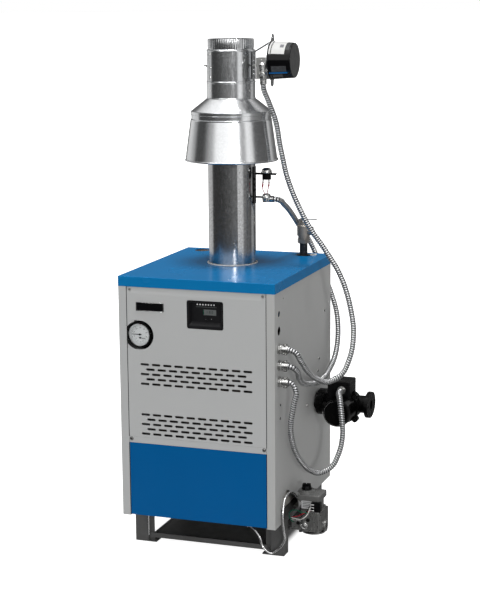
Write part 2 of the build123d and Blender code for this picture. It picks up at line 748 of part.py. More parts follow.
def control_bezel():
    """Moulded bezel: rim, funnel and recessed face."""
    rim_y = FRONT + 0.5
    with BuildPart() as part:
        bar(RectangleRounded, (119, 88, 6), at_y(rim_y), -20, (BEZEL_X, BEZEL_Z))
        # funnel
        with BuildSketch(at_y(rim_y)):
            with Locations((BEZEL_X, BEZEL_Z + 2)):
                RectangleRounded(107, 74, 4)
        with BuildSketch(at_y(FRONT + 14)):
            with Locations((BEZEL_X, BEZEL_Z + 6)):
                RectangleRounded(96, 60, 3)
        loft(mode=Mode.SUBTRACT)
        # display window and button guides
        with BuildSketch(at_y(FRONT + 10)):
            with Locations(DISPLAY_CENTRE):
                Rectangle(DISPLAY_W + 0.4, DISPLAY_H + 0.4)
            with Locations((BUTTON_X[0], BUTTON_Z), (BUTTON_X[1], BUTTON_Z)):
                SlotOverall(BUTTON_L + 0.2, BUTTON_H + 0.2)
        extrude(amount=-14, mode=Mode.SUBTRACT)
    return part.part


def control_module():
    """Control module behind the bezel, with a block under it."""
    module_y = FRONT + 20.6
    with BuildPart() as part:
        bar(RectangleRounded, (112, 84, 5), at_y(module_y), -46, (BEZEL_X, BEZEL_Z))
        block((40, 24, 14), (BEZEL_X, module_y + 30, BEZEL_Z0 - 4))
    return part.part


def control_display():
    with BuildPart() as part:
        bar(Rectangle, (DISPLAY_W, DISPLAY_H), at_y(FRONT + 15), -5.4, DISPLAY_CENTRE)
    return part.part


def control_button(x):
    with BuildPart() as part:
        bar(SlotOverall, (BUTTON_L, BUTTON_H), at_y(FRONT + 12), -6.5, (x, BUTTON_Z))
        fillet(part.faces().sort_by(Axis.Y)[0].edges(), 1)
    return part.part


def control_button_1():
    return control_button(BUTTON_X[0])


def control_button_2():
    return control_button(BUTTON_X[1])


# radius, y of the gauge cup, from its rear face round the rolled rim to the inside
GAUGE_PROFILE = (
    (0, -262), (39, -262), (40.5, -270), (40.5, -290), (GAUGE_R, -292), (GAUGE_R, -297),
    (40, -299), (36, -299), (36, -296), (38.6, -296), (38.6, -264), (0, -264),
)


def gauge_case():
    """Gauge cup with a rolled rim and a rear stem."""
    profile = [(GAUGE_X + radius, y) for radius, y in GAUGE_PROFILE]
    with BuildPart() as part:
        revolve(outline(at_z(GAUGE_Z), profile), axis=Axis((GAUGE_X, 0, GAUGE_Z), (0, 1, 0)))
        rod(at_y(-262), 9, -24, GAUGE_CENTRE)
        # mounting tab under the case
        block((30, 20, 5), (GAUGE_X, -276, GAUGE_Z - 41.5))
    return part.part


def gauge_dial():
    """Dial with a hole for each pointer."""
    with BuildPart() as part:
        with BuildSketch(at_y(-287)):
            with Locations(GAUGE_CENTRE):
                Circle(DIAL_R)
            with Locations(GAUGE_CENTRE, TEMP_PIVOT):
                Circle(1.0 + RUN, mode=Mode.SUBTRACT)
        extrude(amount=-1.2)
    return part.part


def gauge_lens():
    with BuildPart() as part:
        rod(at_y(-295.9), DIAL_R, -1.5, GAUGE_CENTRE)
    return part.part


def gauge_pointer(pivot, needle, hub_r, y, pin_y, pin_length):
    """Needle and hub at y, on a pin; needle points are x, z from the pivot."""
    with BuildPart() as part:
        with BuildSketch(at_y(y)):
            with BuildLine():
                Polyline(*[(pivot[0] + x, pivot[1] + z) for x, z in needle], close=True)
            make_face()
            with Locations(pivot):
                Circle(hub_r)
        extrude(amount=0.8)
        rod(at_y(pin_y), 1.0, -pin_length, pivot)
    return part.part


def pressure_pointer():
    """Pressure pointer, resting at nine o'clock."""
    return gauge_pointer(
        GAUGE_CENTRE, needle=((6, -1.6), (6, 1.6), (-27, 0.5), (-27, -0.5)),
        hub_r=3.2, y=-290.6, pin_y=-292, pin_length=16)


def temperature_pointer():
    """Temperature pointer below it, resting a little under three o'clock."""
    return gauge_pointer(
        TEMP_PIVOT, needle=((-4, -0.6), (-4, 1.8), (19, -2.4), (19, -3.2)),
        hub_r=3.0, y=-288.4, pin_y=-289.4, pin_length=13)


# =====================================================================
# CIRCULATOR
# =====================================================================
PUMP_X = 363.0                    # motor axis, along Y
MOTOR_Z = 422.0
MOTOR_CENTRE = (PUMP_X, MOTOR_Z)
VOLUTE_Y = 110.2                  # face of the volute towards the motor
PUMP_F0, PUMP_F1 = 281.5, 447.0   # flange faces
PUMP_FLANGE = (56, 43)            # half axes of the oval flanges
FLANGE_T = 12
FLANGE_BOLTS = ((PUMP_Y + 40, PUMP_Z), (PUMP_Y - 40, PUMP_Z))
FLANGE_HOLE_R = 6
MOTOR_SCREW_CIRCLE = 55
MOTOR_SCREWS = tuple(
    (PUMP_X + MOTOR_SCREW_CIRCLE * math.cos(math.radians(angle)),
     MOTOR_Z + MOTOR_SCREW_CIRCLE * math.sin(math.radians(angle)))
    for angle in (45, 135, 225, 315)
)
SCREW_PAD_R = 9


def return_flange():
    """Companion flange on the return nipple."""
    with BuildPart() as part:
        with BuildSketch(at_x(270.4)):
            with Locations(PUMP_AXIS):
                Ellipse(*PUMP_FLANGE)
                Circle(PIPE_R + RUN, mode=Mode.SUBTRACT)
            with Locations(*FLANGE_BOLTS):
                Circle(FLANGE_HOLE_R, mode=Mode.SUBTRACT)
        extrude(amount=11)
    return part.part


def pump_volute():
    """Volute with its two flanges."""
    with BuildPart() as part:
        bar(Ellipse, PUMP_FLANGE, at_x(PUMP_F0), FLANGE_T, PUMP_AXIS)
        bar(Ellipse, PUMP_FLANGE, at_x(PUMP_F1), -FLANGE_T, PUMP_AXIS)
        rod(at_x(PUMP_F0), 29, PUMP_F1 - PUMP_F0, PUMP_AXIS)
        rod(at_y(VOLUTE_Y), 52, -50, MOTOR_CENTRE)
        fillet(part.faces().sort_by(Axis.Y)[-1].edges().filter_by(GeomType.CIRCLE), 8)
        # four pads for the motor screws
        rod(at_y(VOLUTE_Y), SCREW_PAD_R, -12, *MOTOR_SCREWS)
        # impeller chamber and water passage
        bore(at_y(110), 38, -42, MOTOR_CENTRE)
        bore(at_x(PUMP_F0 - 1), 16, PUMP_F1 - PUMP_F0 + 2, PUMP_AXIS)
        # flange bolt holes
        bore(at_x(PUMP_F0 - 1), FLANGE_HOLE_R, FLANGE_T + 2, *FLANGE_BOLTS)
        bore(at_x(PUMP_F1 - FLANGE_T - 1), FLANGE_HOLE_R, FLANGE_T + 2, *FLANGE_BOLTS)
        # tapped holes for the motor screws
        bore(at_y(109), 3.05, -12, *MOTOR_SCREWS)
    return part.part


# radius, y of the motor can: outside from the front face back, then inside
MOTOR_PROFILE = (
    (0, 10), (40, 10), (44, 13), (46, 20), (48, 96), (52, 96), (52, 110),
    (5.05, 110), (5.05, 98), (43, 98), (42, 20), (38, 13.5), (0, 13.5),
)


def pump_motor_housing():
    """Motor can: flange, barrel with a stepped front, bearing web inside."""
    profile = [(PUMP_X + radius, y) for radius, y in MOTOR_PROFILE]
    with BuildPart() as part:
        revolve(outline(at_z(MOTOR_Z), profile), axis=Axis((PUMP_X, 0, MOTOR_Z), (0, 1, 0)))
        # screw pads round the flange
        with BuildSketch(at_y(96)):
            with Locations(*MOTOR_SCREWS):
                Circle(SCREW_PAD_R)
            with Locations(MOTOR_CENTRE):
                Circle(47, mode=Mode.SUBTRACT)
        extrude(amount=-14)
        bore(at_y(95), 3.1, -16, *MOTOR_SCREWS)
        # turned ring on the front face
        tube(at_y(9), 33, 31, -1.8, MOTOR_CENTRE, mode=Mode.SUBTRACT)
    return part.part


def pump_rotor():
    """Rotor, shaft and impeller turn as one."""
    with BuildPart() as part:
        # y of the front end, radius, length: shaft, rotor, impeller disc
        for y, radius, length in ((22, 5, 122), (34, 27, 52), (124, 34, 4)):
            rod(at_y(y), radius, -length, MOTOR_CENTRE)
        # impeller hub and blades
        with BuildSketch(at_y(127)):
            with Locations(MOTOR_CENTRE):
                Circle(10)
                with PolarLocations(20, 6, 0):
                    Rectangle(26, 3, rotation=35)
        extrude(amount=-14)
    return part.part


def pump_terminal_box():
    """Terminal box on top of the motor."""
    with BuildPart() as part:
        bar(RectangleRounded, (76, 80, 5), at_z(460), 58, (357, 100))
        fillet(part.faces().sort_by(Axis.Z)[-1].edges(), 4)
        # clear of the barrel, the motor flange and the volute: y, radius, length
        for y, radius, length in ((50, 48.6, 46), (90, 64.6, 34), (120, 53, 40)):
            bore(at_y(y), radius, -length, MOTOR_CENTRE)
    return part.part


def pump_bolts():
    """Motor cap screws and the companion-flange bolts with nuts."""
    with BuildPart() as part:
        for centre in MOTOR_SCREWS:
            rod(at_y(90), 5.2, -6, centre)
            rod(at_y(93), 3.0, -26, centre)
        for centre in FLANGE_BOLTS:
            hexagon(at_x(264), 9.5, 6.4, centre)
            rod(at_x(266), 5.5, 38, centre)
            hexagon(at_x(PUMP_F0 + FLANGE_T), 9.5, 8, centre)
    return part.part


# =====================================================================
# CONDUITS
# =====================================================================
CONDUIT_R = 7.5
PUMP_ENTRY = (368, 490)           # x, z on the pump terminal box
DAMPER_BOX_X, DAMPER_BOX_Y = 121.5, 4
DAMPER_ENTRY = (122, 4)           # x, y under the damper junction box
SPILL_CONNECTOR_X = 118


def conduit_connectors():
    """Connectors: three on the jacket, one each on pump, damper box and spill switch."""
    with BuildPart() as part:
        for z in ENTRY_Z:
            centre = (ENTRY_Y, z)
            bar(RegularPolygon, (17, 8), at_x(SIDE_X), 5, centre)
            rod(at_x(SIDE_X - 5), 8.0, 6, centre)
            rod(at_x(SIDE_X + 4), 12.8, 28, centre)
            # clamp lugs above and below
            block((9, 12, 34), (SIDE_X + 22, ENTRY_Y, z))
            bore(at_x(SIDE_X + 10), 10.4, 24, centre)
        # pump terminal box, pointing to the front
        rod(at_y(60), 13.5, 5, PUMP_ENTRY)
        rod(at_y(57), 11, 15, PUMP_ENTRY)
        bore(at_y(54), 9, 20, PUMP_ENTRY)
        # damper junction box, pointing down
        rod(at_z(1501), 11, -18, DAMPER_ENTRY)
        bore(at_z(1495), 9, -16, DAMPER_ENTRY)
        # spill switch, a right-angle connector
        rod(at_z(1103), 12.5, 25, (SPILL_CONNECTOR_X, VENT_Y))
        rod(at_x(SPILL_CONNECTOR_X), 10.5, 25, (VENT_Y, 1113))
        bore(at_x(134), 8.8, 16, (VENT_Y, 1113))
    return part.part


# start and end directions of each conduit
CONDUIT_ENDS = (
    ((0, 0, -1), (-1, 0, 0)),
    ((1, 0, 0), (-1, 0, 0)),
    ((1, 0, 0), (0, 1, 0)),
)
# x, y, z along each conduit
CONDUIT_PATHS = (
    # vent damper to the top entry
    ((122, 4, 1494), (122.5, 5, 1472), (134, 18, 1430), (153, 26, 1375), (172, 30, 1273),
     (195, 32, 1177), (225, 32, 1104), (269, 30, 1025), (321, 25, 957), (374, 15, 880),
     (411, 0, 787), (429, -20, 695), (425, -45, 628), (402, -70, 573), (373, -95, 556),
     (345, -150, 576), (333, -200, 608), (324, -240, 647), (306, -263, 684), (276, -267, 690)),
    # spill switch, behind the jacket, to the middle entry
    ((135, 41, 1113), (151, 43, 1112.4), (160, 62, 1106), (159, 95, 1092), (156, 150, 1070),
     (150, 225, 1036), (154, 290, 990), (172, 328, 944), (196, 338, 890), (224, 338, 825),
     (251, 334, 761), (276, 316, 697), (292, 280, 635), (298, 225, 567), (295, 150, 527),
     (294, 60, 517), (294, -40, 529), (295, -140, 558), (304, -205, 590), (310, -246, 620),
     (301, -264, 634.5), (276, -267, 638)),
    # bottom entry to the circulator
    ((276, -267, 586), (301, -266.4, 583), (313, -264, 560), (305, -259, 513), (292, -250, 447),
     (292, -225, 375), (302, -185, 316), (321, -140, 272), (342, -100, 254), (372, -75, 268),
     (394, -60, 313), (403, -50, 371), (397, -42, 430), (385, -20, 478), (370, 20, 490),
     (368, 52, 490)),
)


def conduits():
    """Three flexible conduits."""
    with BuildPart() as part:
        for points, ends in zip(CONDUIT_PATHS, CONDUIT_ENDS):
            add(bent_tube(points, CONDUIT_R, ends))
    return part.part


# =====================================================================
# VENT STACK
# =====================================================================
VENT_AXIS = Axis((VENT_X, VENT_Y, 0), (0, 0, 1))
VENT_PLANE = at_y(VENT_Y)         # profiles here are radius, z
PIPE_Z0, PIPE_Z1 = 870, 1300

HOOD_Z0, HOOD_Z1 = 1238.0, 1394.0
HOOD_R0, HOOD_R1 = 149.0, 129.0
CONE_TOP = 1436.0
COLLAR_TOP = 1490.0
BAFFLE_Z0, BAFFLE_Z, BAFFLE_T = 1270, 1340, 1.2

DAMPER_TOP = 1588.5
CRIMP_TOP = 1625.0
CRIMP_R = 73.6
DAMPER_Z = 1540.0                 # damper shaft height
DAMPER_AXIS = (VENT_Y, DAMPER_Z)
SHAFT_R = 4.0
SHAFT_X0, SHAFT_X1 = -92, 160

GEAR_MODULE = 1.0
GEAR_TEETH = 42
PINION_TEETH = 14
PRESSURE_ANGLE = 25.0
BACKLASH = 0.10
GEAR_X, GEAR_T = 150, 5
PINION_Z = DAMPER_Z + GEAR_MODULE * (GEAR_TEETH + PINION_TEETH) / 2
PINION_AXIS = (VENT_Y, PINION_Z)
PINION_SHAFT_R = 2.5
ACTUATOR_Z = 1557.0
PLATE_X = 139.5                   # inner face of the actuator plate
SPILL_X = 119.5
SPILL_CENTRE = (SPILL_X, VENT_Y)


def vent_pipe():
    with BuildPart() as part:
        tube(at_z(PIPE_Z0), VENT_R, VENT_BORE_R, PIPE_Z1 - PIPE_Z0, VENT_CENTRE)
    return part.part


# radius, z: up the outside, down the inside
SKIRT_PROFILE = (
    (HOOD_R0, HOOD_Z0), (HOOD_R1 + 2.2, 1366), (HOOD_R1 + 2.6, 1369), (HOOD_R1, 1371),
    (HOOD_R1, HOOD_Z1), (HOOD_R1 - 1, HOOD_Z1), (HOOD_R1 - 1, 1370.4),
    (HOOD_R1 + 1.2, 1368.6), (HOOD_R1 + 1.2, 1366), (HOOD_R0 - 1, HOOD_Z0),
)


def draft_hood_skirt():
    """Tapered skirt of the draft hood with a rolled lower edge."""
    with BuildPart() as part:
        with BuildSketch(VENT_PLANE):
            with BuildLine():
                Polyline(*SKIRT_PROFILE, close=True)
            make_face()
            with Locations((HOOD_R0 - 0.3, HOOD_Z0)):
                Circle(2.6)
        revolve(axis=VENT_AXIS)
        # three straps inside that hang the skirt from the pipe
        with BuildSketch(at_z(1262)):
            with Locations(VENT_CENTRE):
                with PolarLocations(111.2, 3, 30):
                    Rectangle(67.4, 14)
        extrude(amount=2)
    return part.part


# radius, z: up the outside, down the inside
CONE_PROFILE = (
    (HOOD_R1 + 0.1, 1388), (HOOD_R1 + 1.3, 1388), (HOOD_R1 + 1.3, HOOD_Z1 + 1.2),
    (78.4, CONE_TOP), (77.9, CONE_TOP + 2), (77.9, COLLAR_TOP - 6), (79.4, COLLAR_TOP - 4.5),
    (79.4, COLLAR_TOP - 1.5), (77.9, COLLAR_TOP), (76.9, COLLAR_TOP),
    (76.9, CONE_TOP), (HOOD_R1 + 0.1, HOOD_Z1 + 0.1),
)


def draft_hood_cone():
    """Cone and collar on top of the skirt."""
    with BuildPart() as part:
        revolve(outline(VENT_PLANE, CONE_PROFILE), axis=VENT_AXIS)
    return part.part


def draft_hood_baffle():
    """Baffle inside the hood: disc on three legs in the pipe mouth."""
    with BuildPart() as part:
        with BuildSketch(at_z(BAFFLE_Z)):
            with Locations(VENT_CENTRE):
                Circle(62)
                with PolarLocations(68, 3, 90):
                    Rectangle(14, 12)
        extrude(amount=BAFFLE_T)
        with BuildSketch(at_z(BAFFLE_Z0)):
            with Locations(VENT_CENTRE):
                with PolarLocations(74.4, 3, 90):
                    Rectangle(BAFFLE_T, 12)
        extrude(amount=BAFFLE_Z + BAFFLE_T - BAFFLE_Z0)
    return part.part


# radius, z: up the outside, down the inside
DAMPER_PIPE_PROFILE = (
    (76.8, 1458), (76.8, 1490.4), (VENT_R, 1491.4), (VENT_R, DAMPER_TOP - 3),
    (VENT_R + 1, DAMPER_TOP - 1), (VENT_R, DAMPER_TOP + 1), (CRIMP_R, DAMPER_TOP + 4),
    (CRIMP_R, CRIMP_TOP), (CRIMP_R - 1, CRIMP_TOP), (CRIMP_R - 1, DAMPER_TOP + 3.4),
    (VENT_BORE_R, DAMPER_TOP + 0.4), (VENT_BORE_R, 1491), (75.8, 1490), (75.8, 1458),
)


def damper_pipe():
    """Damper pipe: necked lower end, straight barrel, reduced upper end."""
    with BuildPart() as part:
        revolve(outline(VENT_PLANE, DAMPER_PIPE_PROFILE), axis=VENT_AXIS)
        # shaft bushes
        rod(at_x(-82), 8, 6, DAMPER_AXIS)
        rod(at_x(76), 8, 1.6, DAMPER_AXIS)
        bore(at_x(-100), SHAFT_R + RUN, 200, DAMPER_AXIS)
    return part.part


def damper_blade():
    """Blade, lying flat (closed) on top of the shaft."""
    with BuildPart() as part:
        rod(at_z(DAMPER_Z + SHAFT_R), 74, 1.2, VENT_CENTRE)
    return part.part


def damper_shaft():
    """Shaft through the pipe into the actuator, two saddle clips under the blade."""
    with BuildPart() as part:
        rod(at_x(SHAFT_X0), SHAFT_R, SHAFT_X1 - SHAFT_X0, DAMPER_AXIS)
        for x in (-35, 35):
            block((12, 18, 4), (x, VENT_Y, DAMPER_Z + 2))
    return part.part


def gear_outline(teeth, phase):
    """Closed involute gear outline in the plane, first tooth centred at phase."""
    pressure = math.radians(PRESSURE_ANGLE)
    pitch_r = GEAR_MODULE * teeth / 2
    base_r = pitch_r * math.cos(pressure)
    tip_r = pitch_r + GEAR_MODULE
    root_r = pitch_r - 1.25 * GEAR_MODULE
    involute = math.tan(pressure) - pressure
    # half tooth angle less backlash
    half_tooth = math.pi / (2 * teeth) - BACKLASH / (2 * pitch_r)
    flank_r = max(base_r, root_r)
    # one flank as radius and angle from the tooth centre; the same for every tooth
    flank = [(root_r, half_tooth + involute + 0.02)] if root_r < base_r else []
    for j in range(7):
        radius = flank_r + (tip_r - flank_r) * j / 6
        roll = math.acos(min(1.0, base_r / radius))
        flank.append((radius, half_tooth + involute - (math.tan(roll) - roll)))
    points = []
    for k in range(teeth):
        centre = phase + 2 * math.pi * k / teeth
        points += [(r * math.cos(centre - a), r * math.sin(centre - a)) for r, a in flank]
        points += [(r * math.cos(centre + a), r * math.sin(centre + a))
                   for r, a in reversed(flank)]
    return points


def damper_gear():
    """Driven gear on the damper shaft."""
    with BuildPart() as part:
        with BuildSketch(at_x(GEAR_X)):
            with Locations(DAMPER_AXIS):
                Polygon(*gear_outline(GEAR_TEETH, math.pi / 2), align=None)
                Circle(SHAFT_R, mode=Mode.SUBTRACT)
        extrude(amount=GEAR_T)
    return part.part


def damper_pinion():
    """Motor pinion above the driven gear, turned half a tooth to mesh."""
    phase = -math.pi / 2 + math.pi / PINION_TEETH
    with BuildPart() as part:
        with BuildSketch(at_x(GEAR_X)):
            with Locations(PINION_AXIS):
                Polygon(*gear_outline(PINION_TEETH, phase), align=None)
        extrude(amount=GEAR_T)
        rod(at_x(GEAR_X + GEAR_T), PINION_SHAFT_R, 12, PINION_AXIS)
    return part.part


def damper_motor():
    """Synchronous motor inside the actuator."""
    with BuildPart() as part:
        tube(at_x(163), 24, PINION_SHAFT_R + RUN, 8, PINION_AXIS)
        rod(at_x(171), 24, 14, PINION_AXIS)
    return part.part


# x, radius of the actuator can: along the outside, back along the inside
ACTUATOR_PROFILE = (
    (142.2, 59.6), (150, 59.6), (214, 55.2), (216, 53.2),
    (216, 0), (213.5, 0), (213.5, 52), (145, 56.8), (142.2, 56.8),
)


def damper_motor_housing():
    """Actuator housing: tapered can with a flat end."""
    profile = [(x, ACTUATOR_Z + radius) for x, radius in ACTUATOR_PROFILE]
    with BuildPart() as part:
        revolve(outline(VENT_PLANE, profile), axis=Axis((0, VENT_Y, ACTUATOR_Z), (1, 0, 0)))
        # carrier that holds the motor off the end wall
        bar(Rectangle, (16, 30), at_x(185), 29, PINION_AXIS)
    return part.part


def vent_brackets():
    """The actuator bracket and the spill-switch bracket."""
    top_strap = ((78, 1580.5), (139, 1615.5), (139, 1618), (77.8, 1583))    # x, z
    with BuildPart() as part:
        # actuator strip on the pipe, top strap, lower strap and round plate with ears
        block((2, 30, 86), (78.6, VENT_Y, 1541))
        extrude(outline(at_y(VENT_Y - 11), top_strap), amount=-22)
        block((63, 34, 2), (109.5, VENT_Y, 1499.2))
        with BuildSketch(at_x(PLATE_X)):
            with Locations((VENT_Y, ACTUATOR_Z)):
                Circle(64)
            with Locations((VENT_Y + 3, 1604)):
                SlotOverall(72, 30, rotation=90)
            with Locations((VENT_Y - 2, 1505)):
                SlotOverall(62, 28, rotation=90)
            with Locations(DAMPER_AXIS):
                Circle(7, mode=Mode.SUBTRACT)
            with Locations((VENT_Y + 3, 1630), (VENT_Y - 2, 1482)):
                Circle(3.2, mode=Mode.SUBTRACT)
        extrude(amount=2)
        bore(at_x(70), 8.2, 20, DAMPER_AXIS)
        # spill-switch strip with two arms
        block((1.6, 24, 120), (78.4, VENT_Y, 1157))
        block((73, 24, 1.6), (115, VENT_Y, 1195.5))
        block((24, 18, 1.6), (90.5, VENT_Y, 1119.5))
        bore(at_z(1190), 9.6, 10, SPILL_CENTRE)
        # clear of the round connector
        bore(at_z(1110), 12.6, 20, (SPILL_CONNECTOR_X, VENT_Y))
        # the strips follow the round pipe
        bore(at_z(1000), VENT_R + 0.3, 700, VENT_CENTRE)
        # screws through the strips
        for z in (1512, 1526, 1554, 1572, 1140, 1158, 1176):
            rod(at_x(78.6), 4, 3.2, (VENT_Y, z))
    return part.part


def damper_junction_box():
    """Sheet junction box beside the actuator plate, open at the rear."""
    with BuildPart() as part:
        block((35, 38, 66), (DAMPER_BOX_X, DAMPER_BOX_Y, 1534))
        fillet(part.edges().filter_by(Axis.Z), 3)
        block((32, 35, 63), (DAMPER_BOX_X, DAMPER_BOX_Y, 1534), mode=Mode.SUBTRACT)
        block((20, 10, 50), (DAMPER_BOX_X, DAMPER_BOX_Y + 20, 1534), mode=Mode.SUBTRACT)
    return part.part


def spill_switch():
    """Thermal switch: cap above the arm, moulded body below with two tabs."""
    with BuildPart() as part:
        rod(at_z(1196.4), 12.5, 12, SPILL_CENTRE)
        fillet(part.faces().sort_by(Axis.Z)[-1].edges(), 3.5)
        rod(at_z(1190), 9.4, 8, SPILL_CENTRE)
        rod(at_z(1176), 14.5, 18.6, SPILL_CENTRE)
        for side in SIDES:
            block((4, 1, 6), (SPILL_X + side * 10, 34, 1173.4))
    return part.part


# =====================================================================
# RELIEF VALVE
# =====================================================================
OUTLET = (RELIEF_Y, 982)          # y, z of the side outlet
PIN_X, PIN_Z = RELIEF_X - 10, 1019
PIN_R = 1.5


def relief_valve_body():
    with BuildPart() as part:
        hexagon(at_z(941), 21.5, 14, RELIEF)
        rod(at_z(955), 18.5, 12, RELIEF)
        rod(at_z(966), 22, 36, RELIEF)
        fillet(part.faces().sort_by(Axis.Z)[-1].edges(), 4)
        rod(at_z(1000), 15.5, 11, RELIEF)
        rod(at_x(RELIEF_X), 15, 32, OUTLET)
        # outlet and inlet bores
        bore(at_x(RELIEF_X), 10.4, 40, OUTLET)
        bore(at_z(930), RELIEF_PIPE_R + RUN, 22, RELIEF)
        bore(at_z(950), 9, 34, RELIEF)
        # two ears that hold the lever pin
        for end in SIDES:
            block((8, 2.5, 16), (PIN_X, RELIEF_Y + end * 8, 1015))
        bore(at_y(RELIEF_Y + 12), PIN_R + RUN, 24, (PIN_X, PIN_Z))
    return part.part


def relief_valve_lever():
    """Test lever with its pin; it lifts about the pin."""
    with BuildPart() as part:
        rod(at_y(RELIEF_Y + 10.5), PIN_R, 21, (PIN_X, PIN_Z))
        block((7, 12, 6), (PIN_X, RELIEF_Y, PIN_Z))
        block((52, 12, 1.8), (RELIEF_X + 16, RELIEF_Y, 1021))
        tube(at_z(1020.1), 7, 2.6, 1.8, (RELIEF_X + 41, RELIEF_Y))
    return part.part


# =====================================================================
# OUTPUT: each piece takes the name of its function
# =====================================================================
PIECES = (
    base_frame, burner_tray, burner_tubes, gas_manifold, burner_orifices,
    pilot_burner, pilot_tube,
    gas_valve_body, gas_valve_knob, gas_valve_terminal_block, gas_valve_plugs, wire_leads,
    chamber_insulation, cast_iron_sections, pipe_nipples, flue_collector,
    jacket_left, jacket_right, jacket_rear, jacket_top, front_rail, jacket_screws,
    upper_door, upper_door_screws, badge_plate, lower_door,
    control_bezel, control_module, control_display, control_button_1, control_button_2,
    gauge_case, gauge_dial, gauge_lens, pressure_pointer, temperature_pointer,
    return_flange, pump_volute, pump_motor_housing, pump_rotor, pump_terminal_box, pump_bolts,
    conduit_connectors, conduits,
    vent_pipe, draft_hood_skirt, draft_hood_cone, draft_hood_baffle,
    damper_pipe, damper_blade, damper_shaft, damper_gear, damper_pinion, damper_motor,
    damper_motor_housing, vent_brackets, damper_junction_box, spill_switch,
    relief_valve_body, relief_valve_lever,
)

os.makedirs("parts", exist_ok=True)
for build_piece in PIECES:
    solid = build_piece()
    solid.label = build_piece.__name__
    export_step(solid, f"parts/{solid.label}.step")
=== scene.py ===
# A gas-fired boiler with its vent stack, damper, circulator pump, gas valve and conduits.
# It stands on z = 0 with its doors facing -Y and its pump and gas valve on the +X side.
# Pieces are measured in millimetres; the camera, the floor and the shaders work in metres.

import math

import bpy
from mathutils import Matrix, Vector


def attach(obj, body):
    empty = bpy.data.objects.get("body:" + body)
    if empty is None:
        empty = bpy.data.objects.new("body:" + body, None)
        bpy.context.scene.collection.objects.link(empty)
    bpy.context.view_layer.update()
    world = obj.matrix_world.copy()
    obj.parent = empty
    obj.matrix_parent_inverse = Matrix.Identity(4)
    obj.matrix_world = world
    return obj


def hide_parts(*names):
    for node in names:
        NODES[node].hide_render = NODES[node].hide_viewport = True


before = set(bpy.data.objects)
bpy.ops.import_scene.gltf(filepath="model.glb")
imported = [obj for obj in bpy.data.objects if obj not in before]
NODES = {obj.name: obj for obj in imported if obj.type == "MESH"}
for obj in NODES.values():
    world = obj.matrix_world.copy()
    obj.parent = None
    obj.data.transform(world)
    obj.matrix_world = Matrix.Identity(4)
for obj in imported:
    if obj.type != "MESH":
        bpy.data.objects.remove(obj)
MM = 0.001

RIGHT, LEFT = (1, 0, 0), (-1, 0, 0)
BACK, FRONT = (0, 1, 0), (0, -1, 0)
UP, DOWN = (0, 0, 1), (0, 0, -1)


# ------------------------------------------------------------------ shader writing

# Socket numbers of the Mix node when it mixes colours.
MIX_FACTOR, MIX_A, MIX_B, MIX_RESULT = 0, 6, 7, 2


class Nodes:
    """Adds nodes to one node tree and wires them."""

    def __init__(self, tree):
        self.tree = tree

    def fill(self, node, inputs):
        """Links outputs into a node's inputs, or sets them to numbers, vectors or RGB colours."""
        for key, value in inputs.items():
            socket = node.inputs[key]
            if isinstance(value, (int, float)):
                socket.default_value = value
            elif isinstance(value, tuple):
                socket.default_value = value if socket.type == "VECTOR" else (*value, 1.0)
            else:
                self.tree.links.new(value, socket)

    def new(self, kind, inputs=None, **settings):
        node = self.tree.nodes.new("ShaderNode" + kind)
        for key, value in settings.items():
            setattr(node, key, value)
        self.fill(node, inputs or {})
        return node

    def math(self, operation, *values):
        return self.new("Math", dict(enumerate(values)), operation=operation).outputs[0]

    def remap(self, value, source, target=(0.0, 1.0), interpolation="LINEAR"):
        """Carries the range source onto the range target."""
        inputs = {
            "From Min": source[0], "From Max": source[1],
            "To Min": target[0], "To Max": target[1], "Value": value,
        }
        return self.new("MapRange", inputs, interpolation_type=interpolation).outputs["Result"]

    def separate(self, vector):
        return self.new("SeparateXYZ", {0: vector}).outputs


class Surface(Nodes):
    """Writes one material around its Principled shader."""

    def __init__(self, name):
        self.mat = bpy.data.materials.new(name)
        self.mat.use_nodes = True
        super().__init__(self.mat.node_tree)
        self.bsdf = self.tree.nodes["Principled BSDF"]
        self.coord = self.new("TexCoord").outputs["Object"]

    def put(self, inputs):
        self.fill(self.bsdf, inputs)

    def scaled(self, scale):
        return self.new("Mapping", {"Scale": scale, "Vector": self.coord}).outputs["Vector"]

    def noise(self, scale, detail=3.0, vector=None):
        inputs = {
            "Scale": scale, "Detail": detail, "Roughness": 0.55, "Vector": vector or self.coord,
        }
        return self.new("TexNoise", inputs).outputs["Fac"]

    def mix(self, factor, a, b):
        inputs = {MIX_FACTOR: factor, MIX_A: a, MIX_B: b}
        return self.new("Mix", inputs, data_type="RGBA").outputs[MIX_RESULT]

    def bump(self, height, strength, distance=0.0006):
        inputs = {"Strength": strength, "Distance": distance, "Height": height}
        self.put({"Normal": self.new("Bump", inputs).outputs["Normal"]})


def shade(color, factor):
    return tuple(min(1, c * factor) for c in color)


# ------------------------------------------------------------------ kinds of surface


